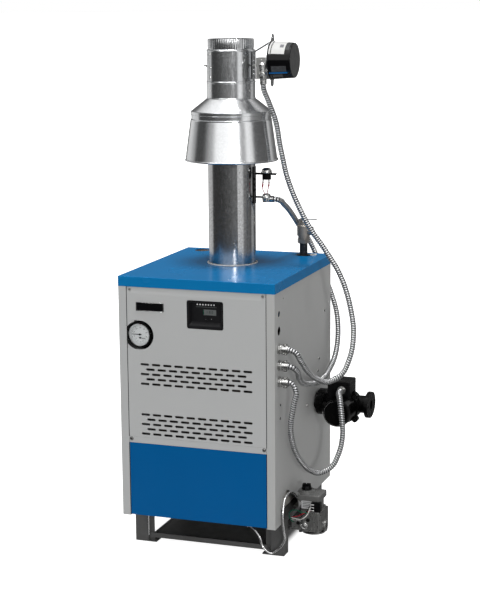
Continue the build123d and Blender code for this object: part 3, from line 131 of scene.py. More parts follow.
def painted(name, color, rough=0.45, metal=0.0, spread=0.10, grain=900.0, bump=0.12,
            rough_spread=0.12, patch=6.0, low_shade=0.0, spec=0.2):
    """Paint, plastic or cast surface: patchy tone, uneven gloss and a fine grain.

    spread and rough_spread are how far tone and gloss stray; patch and grain are the scales of
    the coarse and the fine noise; low_shade is how strongly the lowest 0.35 m is darkened in
    brownish blotches, a painted shade for the light falling off towards the floor.
    """
    s = Surface(name)
    dark, light = shade(color, 1 - spread), shade(color, 1 + spread)
    tone = s.remap(s.noise(scale=patch, detail=4), source=(0.25, 0.75))
    base = s.mix(tone, dark, light)
    speck = s.remap(s.noise(scale=grain * 0.35, detail=2), source=(0.35, 0.65))
    base = s.mix(s.math("MULTIPLY", speck, 0.25), base, dark)
    # painted shade: brownish blotches darken the lowest 0.35 m, for light falling off downwards
    if low_shade:
        low = s.remap(s.separate(s.coord)["Z"], source=(0.0, 0.35), target=(low_shade, 0.0))
        shade_spots = s.math("MULTIPLY", low, s.noise(scale=22, detail=5))
        base = s.mix(shade_spots, base, (0.10, 0.09, 0.075))
    gloss = s.remap(s.noise(scale=patch * 3.0, detail=4), source=(0.3, 0.7),
                    target=(max(0.02, rough - rough_spread), rough + rough_spread))
    s.put({"Base Color": base, "Roughness": gloss, "Metallic": metal, "Specular IOR Level": spec})
    s.bump(s.noise(scale=grain, detail=2), strength=bump)
    return s


def galvanised(name, tint, rough, spangle, streak=True, depth=1.0):
    """Zinc sheet: crystals of differing brightness and, with streak, faint rolling marks.

    spangle is the crystals' scale and depth is how strongly they differ.
    """
    s = Surface(name)
    cell = s.new("TexVoronoi", {"Scale": spangle, "Vector": s.coord}).outputs["Color"]
    grey = s.new("RGBToBW", {0: cell}).outputs[0]
    base = s.mix(grey, shade(tint, 1 - 0.10 * depth), shade(tint, 1 + 0.07 * depth))
    smear = s.remap(s.noise(scale=9, detail=5), source=(0.35, 0.7), target=(0.0, 0.22))
    base = s.mix(smear, base, shade(tint, 0.72))
    gloss = s.remap(grey, source=(0.0, 1.0), target=(rough - 0.02, rough + 0.03))
    if streak:
        marks = s.noise(scale=60, detail=3, vector=s.scaled((14.0, 14.0, 0.35)))
        marks = s.remap(marks, source=(0.3, 0.7), target=(-0.03, 0.05))
        gloss = s.math("ADD", gloss, marks)
    s.put({"Base Color": base, "Metallic": 1.0, "Roughness": gloss})
    s.bump(s.noise(scale=14, detail=2), strength=0.10 * min(depth, 1.0), distance=0.0015)
    return s


def brushed(name, tint, rough=0.3, stretch=(1, 1, 60), spread=0.18):
    """Bare metal with fine lines; stretch scales their noise along X, Y and Z."""
    s = Surface(name)
    lines = s.noise(scale=28, detail=4, vector=s.scaled(stretch))
    gloss = s.remap(s.noise(scale=50, detail=4), source=(0.3, 0.7),
                    target=(rough - 0.08, rough + 0.1))
    base = s.mix(lines, shade(tint, 1 - spread), shade(tint, 1 + spread))
    s.put({"Base Color": base, "Metallic": 1.0, "Roughness": gloss})
    s.bump(lines, strength=0.06)
    return s


def rusty_cast(name, tint, rough=0.7):
    """Rough cast iron with redder blotches."""
    s = Surface(name)
    rust = tuple(min(1, c * gain) for c, gain in zip(tint, (1.9, 1.3, 1.0)))
    blotch = s.remap(s.noise(scale=40, detail=5), source=(0.45, 0.7), target=(0.0, 0.5))
    gloss = s.remap(s.noise(scale=180, detail=4), source=(0.3, 0.7),
                    target=(rough - 0.12, rough + 0.12))
    s.put({"Base Color": s.mix(blotch, tint, rust), "Metallic": 0.25, "Roughness": gloss})
    s.bump(s.noise(scale=420, detail=4), strength=0.5, distance=0.0009)
    return s


def clear(name):
    """Clear sheet: see-through with a Fresnel reflection."""
    s = Surface(name)
    gloss = s.remap(s.noise(scale=30, detail=3), source=(0.3, 0.7), target=(0.02, 0.08))
    shine = s.new("BsdfGlossy", {"Roughness": gloss}).outputs[0]
    through = s.new("BsdfTransparent", {"Color": (0.95, 0.96, 0.97)}).outputs[0]
    fresnel = s.new("Fresnel", {"IOR": 1.4}).outputs[0]
    both = s.new("MixShader", {0: fresnel, 1: through, 2: shine}).outputs[0]
    s.fill(s.tree.nodes["Material Output"], {"Surface": both})
    return s


def fibre(name, tint):
    s = Surface(name)
    gloss = s.remap(s.noise(scale=60, detail=3), source=(0.3, 0.7), target=(0.85, 1.0))
    base = s.mix(s.noise(scale=120, detail=6), shade(tint, 0.75), tint)
    s.put({"Base Color": base, "Roughness": gloss})
    s.bump(s.noise(scale=260, detail=6), strength=0.9, distance=0.002)
    return s


def recolour(s, axis, test, edge, color):
    """Gives a surface another colour where its coordinate (m) passes the test against edge."""
    place = s.separate(s.new("TexCoord").outputs["Object"])[axis]
    step = s.math(test, place, edge)
    base = s.bsdf.inputs["Base Color"].links[0].from_socket
    s.put({"Base Color": s.mix(step, base, color)})
    return step


def die_cast(name):
    """Die-cast metal below, grey painted cover above."""
    metal = 0.85
    s = painted(name, (0.30, 0.30, 0.295), rough=0.36, metal=metal, spread=0.25, grain=500,
                bump=0.35, patch=45)
    step = recolour(s, "Z", "GREATER_THAN", edge=0.1500, color=(0.118, 0.118, 0.115))
    s.put({"Metallic": s.math("MULTIPLY_ADD", step, -metal, metal)})
    return s


def bracket_sheet(name):
    """Bright sheet for the actuator bracket, dark steel for the switch bracket below it."""
    s = galvanised(name, (0.60, 0.61, 0.62), rough=0.2, spangle=240)
    recolour(s, "Z", "LESS_THAN", edge=1.23, color=(0.035, 0.035, 0.035))
    return s


def sheet_screws(name):
    """Zinc screws, dark grey ones on the right-hand panel."""
    s = brushed(name, (0.55, 0.55, 0.53), rough=0.3, stretch=(20, 20, 20))
    recolour(s, "X", "GREATER_THAN", edge=0.2597, color=(0.055, 0.055, 0.055))
    return s


# ------------------------------------------------------------------ materials

SURFACES = {
    # jacket and base
    "grey": painted("grey_enamel", (0.445, 0.45, 0.447), rough=0.40, grain=1500, bump=0.06,
                    spread=0.018, patch=2.2, rough_spread=0.06, low_shade=0.05),
    # painted shade: a darker copy of the grey enamel for the right-hand panel
    "side": painted("grey_enamel_shaded_side", (0.43, 0.432, 0.425), rough=0.42, grain=1500, bump=0.06,
                    spread=0.03, patch=2.6, rough_spread=0.07, low_shade=0.08),
    "blue": painted("blue_enamel", (0.0, 0.160, 0.40), rough=0.25, grain=1500, bump=0.008,
                    spread=0.05, patch=2.0, rough_spread=0.05, spec=0.16),
    # painted shade: a darker copy of the blue enamel for the lower door, for light falling off
    # downwards
    "blue_door_shaded": painted("blue_enamel_shaded_door", (0.0, 0.094, 0.285), rough=0.36, grain=1500,
                         bump=0.05, spread=0.05, patch=2.0, rough_spread=0.06, low_shade=0.04,
                         spec=0.06),
    "base": painted("base_paint", (0.10, 0.10, 0.10), rough=0.42, spread=0.15, bump=0.2,
                    patch=12, low_shade=0.15),
    # sheet, pipe and bare metal
    "galv": galvanised("galvanised_sheet", (0.66, 0.67, 0.68), rough=0.17, spangle=240),
    "galv_pipe": galvanised("galvanised_pipe", (0.50, 0.505, 0.51), rough=0.17, spangle=330,
                            depth=3.2),
    "galv_hood": galvanised("galvanised_hood", (0.74, 0.75, 0.76), rough=0.18, spangle=260,
                            depth=0.8),
    "galv_dull": galvanised("galvanised_dull", (0.42, 0.42, 0.41), rough=0.38, spangle=150,
                            streak=False),
    "aluminised": brushed("aluminised_steel", (0.36, 0.355, 0.34), rough=0.48,
                          stretch=(1, 1, 8)),
    "black_pipe": painted("black_pipe", (0.030, 0.030, 0.030), rough=0.36, spread=0.25,
                          bump=0.3, patch=30),
    "brass": brushed("brass_parts", (0.62, 0.44, 0.17), rough=0.32),
    "bright": brushed("bright_tube", (0.83, 0.83, 0.83), rough=0.22, stretch=(60, 60, 1),
                      spread=0.08),
    "die_cast": die_cast("die_cast_body"),
    # black plastics and steel
    "plastic": painted("black_plastic", (0.0040, 0.0040, 0.0043), rough=0.30, spread=0.2,
                       grain=1800, bump=0.15, patch=16, spec=0.08),
    "bezel": painted("bezel_plastic", (0.011, 0.011, 0.012), rough=0.40, spread=0.12,
                     grain=2200, bump=0.22, patch=18, spec=0.10),
    "gloss": painted("black_gloss", (0.003, 0.003, 0.0035), rough=0.09, spread=0.2, grain=1200,
                     bump=0.02, patch=20, rough_spread=0.04, spec=0.22),
    "rim": painted("gauge_rim", (0.004, 0.004, 0.004), rough=0.22, spec=0.12, spread=0.2,
                   grain=1200, bump=0.04, patch=20),
    "steel_black": painted("black_steel", (0.014, 0.014, 0.014), rough=0.34, metal=0.6,
                           spread=0.2, bump=0.15, patch=40),
    # screws, connectors and conduits
    "zinc": brushed("zinc_screws", (0.60, 0.60, 0.58), rough=0.26, stretch=(20, 20, 20)),
    "zinc_cast": painted("zinc_connectors", (0.50, 0.50, 0.49), rough=0.26, metal=1.0,
                         spread=0.25, grain=420, bump=0.45, patch=60),
    "conduit": galvanised("conduit_strip", (0.50, 0.505, 0.51), rough=0.40, spangle=500,
                          streak=False, depth=0.5),
    # painted shade for the conduit's grooves
    "groove": painted("conduit_groove", (0.045, 0.045, 0.047), rough=0.6, metal=0.2, spec=0.1,
                      spread=0.2, bump=0.1, patch=60),
    "brackets": bracket_sheet("bracket_sheet"),
    "screws": sheet_screws("sheet_screws"),
    # castings
    "iron": rusty_cast("cast_iron_rough", (0.05, 0.046, 0.042)),
    "pump": painted("pump_enamel", (0.0017, 0.0017, 0.0017), rough=0.24, spread=0.3, grain=420,
                    bump=0.25, patch=30, spec=0.07),
    "pump_motor": painted("pump_motor_enamel", (0.0015, 0.0015, 0.0015), rough=0.17, spread=0.3,
                          grain=600, bump=0.10, patch=30, spec=0.10),
    "bronze": painted("bronze_casting", (0.27, 0.25, 0.225), rough=0.40, metal=0.6, spread=0.2,
                      grain=420, bump=0.45, patch=50),
    # dial, wires, labels and display
    "dial": painted("dial_white", (0.90, 0.90, 0.88), rough=0.5, spread=0.02, grain=1500,
                    bump=0.02, patch=20),
    "dial_black": painted("dial_print", (0.012, 0.012, 0.013), rough=0.5, bump=0.02),
    "dial_grey": painted("dial_print_grey", (0.20, 0.20, 0.22), rough=0.5, bump=0.02),
    "red": painted("red_paint", (0.42, 0.016, 0.016), rough=0.4, spread=0.08, bump=0.05,
                   patch=40),
    "wire_red": painted("wire_red", (0.32, 0.006, 0.022), rough=0.38, bump=0.1, patch=60),
    "wire_white": painted("wire_white", (0.70, 0.69, 0.66), rough=0.42, spread=0.06, bump=0.1,
                          patch=60),
    "wire_black": painted("wire_black", (0.01, 0.01, 0.01), rough=0.35, spread=0.2, bump=0.1,
                          patch=60),
    "wire_green": painted("wire_green", (0.006, 0.085, 0.050), rough=0.40, bump=0.1, patch=60),
    "label": painted("label_white", (0.66, 0.66, 0.65), rough=0.42, spread=0.02, grain=1500,
                     bump=0.02, patch=12),
    "label_grey": painted("label_grey", (0.055, 0.057, 0.06), rough=0.22, spread=0.25,
                          grain=300, bump=0.02, patch=80),
    "label_silver": painted("label_silver", (0.66, 0.66, 0.66), rough=0.38, metal=0.15,
                            bump=0.06, patch=60),
    "stripe": painted("stripe_blue", (0.006, 0.115, 0.34), rough=0.22, spread=0.04, bump=0.02),
    "end_grey": painted("end_cap_grey", (0.068, 0.068, 0.068), rough=0.48, spread=0.06,
                        grain=1200, patch=18),
    "lcd": painted("display_grey", (0.125, 0.135, 0.132), rough=0.16, spread=0.05, bump=0.02,
                   patch=70),
    "lcd_green": painted("display_edge", (0.006, 0.05, 0.032), rough=0.3, bump=0.02),
    "lcd_dark": painted("display_digits", (0.035, 0.04, 0.04), rough=0.3, spread=0.05,
                        bump=0.02),
    "dot": painted("status_dots", (0.85, 0.85, 0.85), rough=0.4, bump=0.02),
    # the rest
    "tan": fibre("tan_fibre", (0.56, 0.44, 0.36)),
    "fibre": fibre("ceramic_fibre", (0.76, 0.74, 0.69)),
    "nylon": painted("nylon_gear", (0.60, 0.59, 0.54), rough=0.5, spread=0.05, bump=0.1,
                     patch=40),
    "lens": clear("clear_lens"),
}
MATERIALS = {key: surface.mat for key, surface in SURFACES.items()}

# material of each CAD piece
FINISH = {
    "grey": ("jacket_left", "jacket_rear", "front_rail", "upper_door"),
    "side": ("jacket_right",),
    "blue": ("jacket_top",),
    "blue_door_shaded": ("lower_door",),
    "base": ("base_frame",),
    "galv": ("flue_collector", "burner_tray", "draft_hood_baffle", "damper_pipe", "damper_blade"),
    "brackets": ("vent_brackets",),
    "galv_pipe": ("vent_pipe",),
    "galv_hood": ("draft_hood_skirt", "draft_hood_cone"),
    "galv_dull": ("damper_junction_box",),
    "aluminised": ("burner_tubes", "pilot_burner"),
    "black_pipe": ("gas_manifold", "pipe_nipples"),
    "brass": ("burner_orifices", "damper_pinion"),
    "bright": ("pilot_tube",),
    "die_cast": ("gas_valve_body",),
    "plastic": ("gas_valve_knob", "gas_valve_terminal_block", "pump_terminal_box",
                "spill_switch", "control_module"),
    "bezel": ("control_bezel", "control_button_1", "control_button_2"),
    "gloss": ("damper_motor_housing", "badge_plate"),
    "rim": ("gauge_case",),
    "steel_black": ("gas_valve_plugs", "pump_bolts", "pump_rotor"),
    "screws": ("jacket_screws",),
    "zinc": ("upper_door_screws", "damper_shaft", "damper_motor", "relief_valve_lever"),
    "zinc_cast": ("conduit_connectors",),
    "conduit": ("conduits",),
    "iron": ("cast_iron_sections",),
    "pump": ("pump_volute", "return_flange"),
    "pump_motor": ("pump_motor_housing",),
    "bronze": ("relief_valve_body",),
    "dial": ("gauge_dial",),
    "dial_black": ("pressure_pointer", "temperature_pointer"),
    "lcd": ("control_display",),
    "fibre": ("chamber_insulation",),
    "nylon": ("damper_gear",),
    "lens": ("gauge_lens",),
    "wire_red": ("wire_leads",),
}
for mat, pieces in FINISH.items():
    for piece in pieces:
        slots = NODES[piece].data.materials
        slots.clear()
        slots.append(MATERIALS[mat])
unfinished = set(NODES) - {piece for pieces in FINISH.values() for piece in pieces}
assert not unfinished, sorted(unfinished)

NODES["gauge_lens"].visible_shadow = False

# ------------------------------------------------------------------ mesh makers


def add_mesh(name, verts, faces, mat, body="boiler", smooth=35.0):
    """Makes one object; edges sharper than smooth degrees stay hard, None keeps it flat."""
    mesh = bpy.data.meshes.new(name)
    mesh.from_pydata([tuple(c * MM for c in v) for v in verts], [], faces)
    mesh.materials.append(MATERIALS[mat])
    mesh.validate()
    if smooth is not None:
        mesh.shade_smooth()
        mesh.set_sharp_from_angle(angle=math.radians(smooth))
    obj = bpy.data.objects.new(name, mesh)
    bpy.context.scene.collection.objects.link(obj)
    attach(obj, body)
    return obj


def grid_faces(rows, cols, wrap_rows=False):
    """Quads of a grid whose columns close on themselves, and its rows too if asked."""
    faces = []
    for i in range(rows if wrap_rows else rows - 1):
        below, above = i * cols, ((i + 1) % rows) * cols
        for j in range(cols):
            k = (j + 1) % cols
            faces.append((below + j, below + k, above + k, above + j))
    return faces


def turned(name, profile, centre, axis, mat, segs=96, smooth=35.0, arc=(0, 360), wave=None):
    """Turns a closed loop of (radius, height) about the axis through centre.

    wave, if given, is a function of (angle, height) that adds to the radius.
    """
    axis = Vector(axis).normalized()
    if abs(axis.x) > 0.9 or abs(axis.y) > 0.9:
        across = Vector(UP)
    elif abs(axis.z) > 0.9:
        across = Vector(RIGHT)
    else:
        across = axis.orthogonal().normalized()
    other = axis.cross(across)
    full = abs(arc[1] - arc[0]) >= 360
    rows = segs if full else segs + 1
    verts = []
    for i in range(rows):
        a = math.radians(arc[0] + (arc[1] - arc[0]) * i / segs)
        for radius, height in profile:
            r = radius + (wave(a, height) if wave else 0)
            verts.append(Vector(centre) + across * (r * math.cos(a))
                         + other * (r * math.sin(a)) + axis * height)
    cols = len(profile)
    faces = grid_faces(rows, cols, full)
    if not full:
        faces.append(tuple(range(cols)))
        faces.append(tuple(reversed(range((rows - 1) * cols, rows * cols))))
    return add_mesh(name, verts, faces, mat, smooth=smooth)


def ring(name, centre, axis, major, minor, mat, segs=96, arc=(0, 360)):
    angles = [2 * math.pi * k / 10 for k in range(10)]
    profile = [(major + minor * math.cos(a), minor * math.sin(a)) for a in angles]
    return turned(name, profile, centre, axis, mat, segs=segs, smooth=60.0, arc=arc)


def disc(name, centre, axis, radius, thick, mat, segs=48, bevel=0.0):
    """A disc from centre along axis, bevelled at its far rim."""
    b = min(bevel, thick * 0.5)
    profile = [(0.001, 0), (radius, 0), (radius, thick - b), (radius - b, thick), (0.001, thick)]
    return turned(name, profile, centre, axis, mat, segs=segs)


def block(name, lo, hi, mat, body="boiler", bevel=0.0):
    verts = [(x, y, z) for x in (lo[0], hi[0]) for y in (lo[1], hi[1]) for z in (lo[2], hi[2])]
    faces = [(0, 1, 3, 2), (4, 6, 7, 5), (0, 4, 5, 1), (2, 3, 7, 6), (0, 2, 6, 4), (1, 5, 7, 3)]
    obj = add_mesh(name, verts, faces, mat, body, smooth=30.0)
    if bevel:
        modifier = obj.modifiers.new("bevel", "BEVEL")
        modifier.width = bevel * MM
        modifier.segments = 2
    return obj


def plate(name, outline, y0, y1, mat, body):
    """A flat sheet in the XZ plane; its outline runs anticlockwise seen from -Y."""
    n = len(outline)
    verts = [(x, y, z) for y in (y0, y1) for x, z in outline]
    faces = [tuple(range(n)), tuple(reversed(range(n, 2 * n)))]
    faces += [((i + 1) % n, i, n + i, n + (i + 1) % n) for i in range(n)]
    return add_mesh(name, verts, faces, mat, body, smooth=30.0)


def add_arc(samples, start, end, tangent, step):
    """Samples, without its end, the arc that leaves start along tangent and reaches end."""
    chord = end - start
    count = max(2, round(chord.length / step))
    side = chord - tangent * chord.dot(tangent)
    if side.length < 1e-6 * chord.length:
        samples += [(start + chord * (i / count), tangent.copy()) for i in range(count)]
        return
    normal = side.normalized()
    radius = chord.length_squared / (2 * chord.dot(normal))
    turn = 2 * math.atan2(chord.dot(normal), chord.dot(tangent))
    for i in range(count):
        a = turn * i / count
        place = start + tangent * (radius * math.sin(a)) + normal * (radius * (1 - math.cos(a)))
        samples.append((place, (tangent * math.cos(a) + normal * math.sin(a)).normalized()))


def bent_points(points, ends, step):
    """Samples (place, tangent) on a curve of two tangent arcs between each pair of points.

    ends holds the first and last tangent; with None they follow from the curve.
    """
    p = [Vector(q) for q in points]
    chords = [b - a for a, b in zip(p, p[1:])]
    tangents = [(b.normalized() * a.length + a.normalized() * b.length).normalized()
                for a, b in zip(chords, chords[1:])]
    if ends:
        first, last = Vector(ends[0]), Vector(ends[1])
    else:
        first = (chords[0].normalized() * 2 - tangents[0]).normalized()
        last = (chords[-1].normalized() * 2 - tangents[-1]).normalized()
    tangents = [first] + tangents + [last]

    samples = []
    for p0, p1, t0, t1 in zip(p, p[1:], tangents, tangents[1:]):
        v = p1 - p0
        a = v.dot(t0 + t1)
        k = 2 * (1 - t0.dot(t1))
        # reach is the length of the equal tangent legs that make the two arcs meet smoothly
        if k < 1e-6:
            reach = v.dot(v) / (2 * a)
        else:
            reach = (-a + math.sqrt(a * a + k * v.dot(v))) / k
        middle = (p0 + p1 + (t0 - t1) * reach) * 0.5
        add_arc(samples, p0, middle, t0, step)
        add_arc(samples, middle, p1, (p1 - t1 * reach - p0 - t0 * reach).normalized(), step)
    samples.append((p[-1], tangents[-1].normalized()))
    return samples


def piped(name, samples, radius, mat, sides):
    """A tube along samples; radius may be a function of (distance, angle)."""
    verts = []
    last_place, last_tangent = samples[0]
    across = last_tangent.orthogonal().normalized()
    distance = 0.0
    for place, tangent in samples:
        distance += (place - last_place).length
        across = last_tangent.rotation_difference(tangent) @ across
        across = (across - tangent * across.dot(tangent)).normalized()
        other = tangent.cross(across)
        for j in range(sides):
            a = 2 * math.pi * j / sides
            r = radius(distance, a) if callable(radius) else radius
            verts.append(place + across * (r * math.cos(a)) + other * (r * math.sin(a)))
        last_place, last_tangent = place, tangent
    faces = [tuple(reversed(f)) for f in grid_faces(len(samples), sides)]
    faces.append(tuple(range(sides)))
    faces.append(tuple(reversed(range(len(verts) - sides, len(verts)))))
    return add_mesh(name, verts, faces, mat, smooth=80.0)


def lettering(name, text, centre, size, mat, body="boiler", depth=0.15):
    """Text facing -Y."""
    curve = bpy.data.curves.new(name, "FONT")
    curve.body = text
    curve.size = size * MM
    curve.extrude = depth * 0.5 * MM
    curve.align_x = "CENTER"
    curve.align_y = "CENTER"
    curve.materials.append(MATERIALS[mat])
    obj = bpy.data.objects.new(name, curve)
    bpy.context.scene.collection.objects.link(obj)
    upright = Matrix.Rotation(math.radians(90), 4, "X")
    obj.matrix_world = Matrix.Translation(Vector(centre) * MM) @ upright
    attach(obj, body)
    return obj


# ------------------------------------------------------------------ conduits

# (x, y, z) along each flexible conduit, and its tangents at both ends
CONDUITS = (
    (
        (122, 4, 1494), (122.5, 5, 1472), (134, 18, 1430), (153, 26, 1375), (172, 30, 1273),
        (195, 32, 1177), (225, 32, 1104), (269, 30, 1025), (321, 25, 957), (374, 15, 880),
        (411, 0, 787), (429, -20, 695), (425, -45, 628), (402, -70, 573), (373, -95, 556),
        (345, -150, 576), (333, -200, 608), (324, -240, 647), (306, -263, 684), (276, -267, 690),
    ),
    (
        (135, 41, 1113), (151, 43, 1112.4), (160, 62, 1106), (159, 95, 1092), (156, 150, 1070),
        (150, 225, 1036), (154, 290, 990), (172, 328, 944), (196, 338, 890), (224, 338, 825),
        (251, 334, 761), (276, 316, 697), (292, 280, 635), (298, 225, 567), (295, 150, 527),
        (294, 60, 517), (294, -40, 529), (295, -140, 558), (304, -205, 590), (310, -246, 620),
        (301, -264, 634.5), (276, -267, 638),
    ),
    (
        (276, -267, 586), (301, -266.4, 583), (313, -264, 560), (305, -259, 513),
        (292, -250, 447), (292, -225, 375), (302, -185, 316), (321, -140, 272), (342, -100, 254),
        (372, -75, 268), (394, -60, 313), (403, -50, 371), (397, -42, 430), (385, -20, 478),
        (370, 20, 490), (368, 52, 490),
    ),
)
CONDUIT_ENDS = ((DOWN, LEFT), (RIGHT, LEFT), (RIGHT, BACK))
CONDUIT_R = 9.2
CONDUIT_SIDES = 16
RIB_PITCH = 7.4
GROOVE_DEPTH = 2.0
GROOVE_SHADE_BELOW_R = 8.3  # faces nearer the centre line than this get the dark groove material


def ribbed(distance, angle):
    """Conduit radius: a groove that winds round the tube with flat tops between its turns."""
    phase = (distance / RIB_PITCH + 0.5 * angle / math.pi) % 1.0
    return CONDUIT_R - GROOVE_DEPTH * min(1.0, max(0.0, 1.9 * (1 - abs(phase - 0.5) / 0.25)))


# Painted shade: faces down in the winding groove get the dark groove material.
def darken_grooves(obj, centres):
    obj.data.materials.append(MATERIALS["groove"])
    verts = obj.data.vertices
    for face in obj.data.polygons:
        if len(face.vertices) != 4:
            continue
        radii = [(verts[v].co - centres[v // CONDUIT_SIDES]).length for v in face.vertices]
        if sum(radii) / 4 < GROOVE_SHADE_BELOW_R * MM:
            face.material_index = 1


conduit_step = RIB_PITCH / 9
for k, (points, ends) in enumerate(zip(CONDUITS, CONDUIT_ENDS)):
    samples = bent_points(points, ends, conduit_step)
    conduit = piped("conduit_%d" % (k + 1), samples, ribbed, "conduit", sides=CONDUIT_SIDES)
    darken_grooves(conduit, [place * MM for place, _ in samples])
    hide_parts("conduits")

# ------------------------------------------------------------------ loose leads

# material, then (x, y, z) along each lead
LEADS = (
    ("wire_black", (
        (338, -196, 174), (330, -200, 156), (322, -199, 146), (312, -192, 136), (300, -184, 124),
    )),
    ("wire_white", (
        (338, -196, 164.5), (328, -202, 140), (308, -198, 125), (286, -188, 122),
        (270, -178, 121),
    )),
    ("wire_red", ((338, -196, 155), (318, -201, 146), (296, -198, 134), (276, -190, 128))),
    ("wire_green", (
        (336, -206, 152), (312, -206, 152), (294, -200, 155), (274, -195, 148), (267, -192, 134),
        (274, -192, 118), (284, -196, 114),
    )),
    ("wire_red", ((109.5, 34, 1168.6), (107, 34, 1150), (111, 36, 1137), (114, 38, 1130))),
    ("wire_red", ((129.5, 34, 1168.6), (128, 34, 1152), (124, 36, 1140), (121.5, 38, 1130))),
)
for k, (mat, points) in enumerate(LEADS):
    lead = piped("lead_%d" % (k + 1), bent_points(points, None, step=1.5), 1.4, mat, sides=10)
    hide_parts("wire_leads")

# crimp sleeves and spades on the spill-switch leads: upper and lower end of each sleeve
SLEEVES = (((109.2, 34, 1163), (107.0, 34, 1152)), ((129.6, 34, 1163), (128.2, 34, 1153)))
for k, (top, bottom) in enumerate(SLEEVES):
    start, end = Vector(top), Vector(bottom)
    run = end - start

    def swelling(distance, angle, length=run.length):
        return 1.9 + 0.9 * math.sin(math.pi * min(1, distance / length))

    samples = [(start.lerp(end, i / 8), run.normalized()) for i in range(9)]
    piped("sleeve_%d" % k, samples, swelling, "wire_red", sides=12)
    block("spade_%d" % k, (top[0] - 2.6, 33.6, 1164), (top[0] + 2.6, 34.4, 1170), "zinc")

# terminals at the gas valve, at the heights where its first three leads start
for k, z in enumerate((174, 164.5, 155)):
    block("terminal_%d" % k, (337.2, -192.6, z - 1.4), (349.5, -190.6, z + 1.8),
          "label_silver", bevel=0.3)
    block("terminal_tab_%d" % k, (340.5, -194.6, z - 0.6), (347.5, -192.6, z + 0.9), "zinc",
          bevel=0.2)

# ------------------------------------------------------------------ vent stack

VENT_Y = 41  # the stack's axis is upright at x = 0
FLUTES = 60


def outward(degrees):
    """Level unit vector; 0 degrees is +X and 90 is +Y."""
    a = math.radians(degrees)
    return Vector((math.cos(a), math.sin(a), 0))


def fluted(angle, height):
    return 0.45 * math.cos(FLUTES * angle) if 1595 < height < 1624.5 else 0


# crimped end at the top
turned("crimp", [(73.75, 1594), (74.25, 1598), (74.35, 1621), (73.75, 1625), (73.62, 1625),
                 (73.62, 1594)],
       (0, VENT_Y, 0), UP, "galv", segs=FLUTES * 8, smooth=60, wave=fluted)

# name, height, ring radius, bead radius, material
BEADS = (
    ("bead_damper_top", 1589.0, 76.2, 1.5, "galv"),
    ("bead_collar", 1489.0, 77.6, 1.7, "galv"),
    ("bead_collar_low", 1437.5, 77.8, 1.5, "galv"),
    ("bead_hood_top", 1394.5, 129.2, 1.7, "galv"),
    ("bead_hood_mid", 1384.0, 129.3, 0.9, "galv_hood"),
    ("bead_skirt_low", 1239.0, 149.4, 2.5, "galv"),
    ("vent_trim", 900.6, 80.6, 2.3, "label_silver"),
)
for name, z, major, minor, mat in BEADS:
    ring(name, (0, VENT_Y, z), UP, major, minor, mat)

SEAM_HALF_WIDTH = 7.0
SEAM_LIFT = 0.8


def seam(name, r0, z0, r1, z1, degrees, mat):
    """A lapped seam up the stack from (r0, z0) to (r1, z1), with five spot welds."""
    a = math.radians(degrees)
    verts = []
    for radius, z in ((r0, z0), (r1, z1)):
        for r in (radius, radius + SEAM_LIFT):
            for side in (-1, 1):
                edge = a + side * SEAM_HALF_WIDTH / radius
                verts.append((r * math.cos(edge), VENT_Y + r * math.sin(edge), z))
    faces = [(2, 3, 7, 6), (0, 4, 5, 1), (0, 2, 6, 4), (1, 5, 7, 3), (0, 1, 3, 2), (4, 6, 7, 5)]
    add_mesh(name, verts, faces, mat, smooth=30)
    normal = (outward(degrees) + Vector((0, 0, (r0 - r1) / (z1 - z0)))).normalized()
    for i in range(5):
        f = (i + 0.5) / 5
        r = r0 + (r1 - r0) * f + SEAM_LIFT
        place = Vector((r * math.cos(a), VENT_Y + r * math.sin(a), z0 + (z1 - z0) * f))
        disc("%s_dot_%d" % (name, i), place - normal * 0.3, normal, 1.7, 0.9, "galv_dull",
             segs=14, bevel=0.4)


# name, radius and height at the bottom, the same at the top, bearing, material
SEAMS = (
    ("seam_vent", 77.3, 902, 77.3, 1236, -52, "galv_pipe"),
    ("seam_skirt", 149.0, 1242, 131.4, 1366, -158, "galv_hood"),
    ("seam_cone", 128.6, 1396, 80.2, 1434, -20, "galv_hood"),
    ("seam_damper", 77.3, 1494, 77.3, 1585, -140, "galv"),
)
for row in SEAMS:
    seam(*row)

# height and bearing of the screws round the collar and the damper pipe
VENT_SCREWS = (
    (1462, -128), (1462, -20), (1462, 110), (1505, -128), (1535, -128), (1578, -128), (1505, 60),
    (1578, 60),
)
for k, (z, degrees) in enumerate(VENT_SCREWS):
    normal = outward(degrees)
    disc("screw_%d" % k, Vector((0, VENT_Y, z)) + normal * 77.1, normal, 3.3, 1.9, "zinc",
         segs=6, bevel=0.4)

# ------------------------------------------------------------------ damper actuator

# A housing on a level axis that narrows from radius R0 at X0 to R1 at X1.
ACTUATOR_X0, ACTUATOR_X1 = 142.2, 216.0
ACTUATOR_R0, ACTUATOR_R1 = 59.6, 55.2
ACTUATOR_Z = 1557
WRAP_THICK = 0.35
WRAP_SEGS = 28


def wrap(name, x0, x1, a0, a1, lift, mat):
    """A thin sheet wrapped on the actuator, angles in degrees from +Z towards -Y."""
    slope = (ACTUATOR_R1 - ACTUATOR_R0) / (ACTUATOR_X1 - ACTUATOR_X0)
    low = lift - WRAP_THICK
    verts = []
    for i in range(WRAP_SEGS + 1):
        a = math.radians(a0 + (a1 - a0) * i / WRAP_SEGS)
        for x, height in ((x0, lift), (x1, lift), (x1, low), (x0, low)):
            r = ACTUATOR_R0 + slope * (x - ACTUATOR_X0) + height
            verts.append((x, VENT_Y - r * math.sin(a), ACTUATOR_Z + r * math.cos(a)))
    faces = [tuple(reversed(f)) for f in grid_faces(WRAP_SEGS + 1, 4)]
    faces += [(0, 1, 2, 3), tuple(reversed(range(WRAP_SEGS * 4, WRAP_SEGS * 4 + 4)))]
    return add_mesh(name, verts, faces, mat, smooth=50)


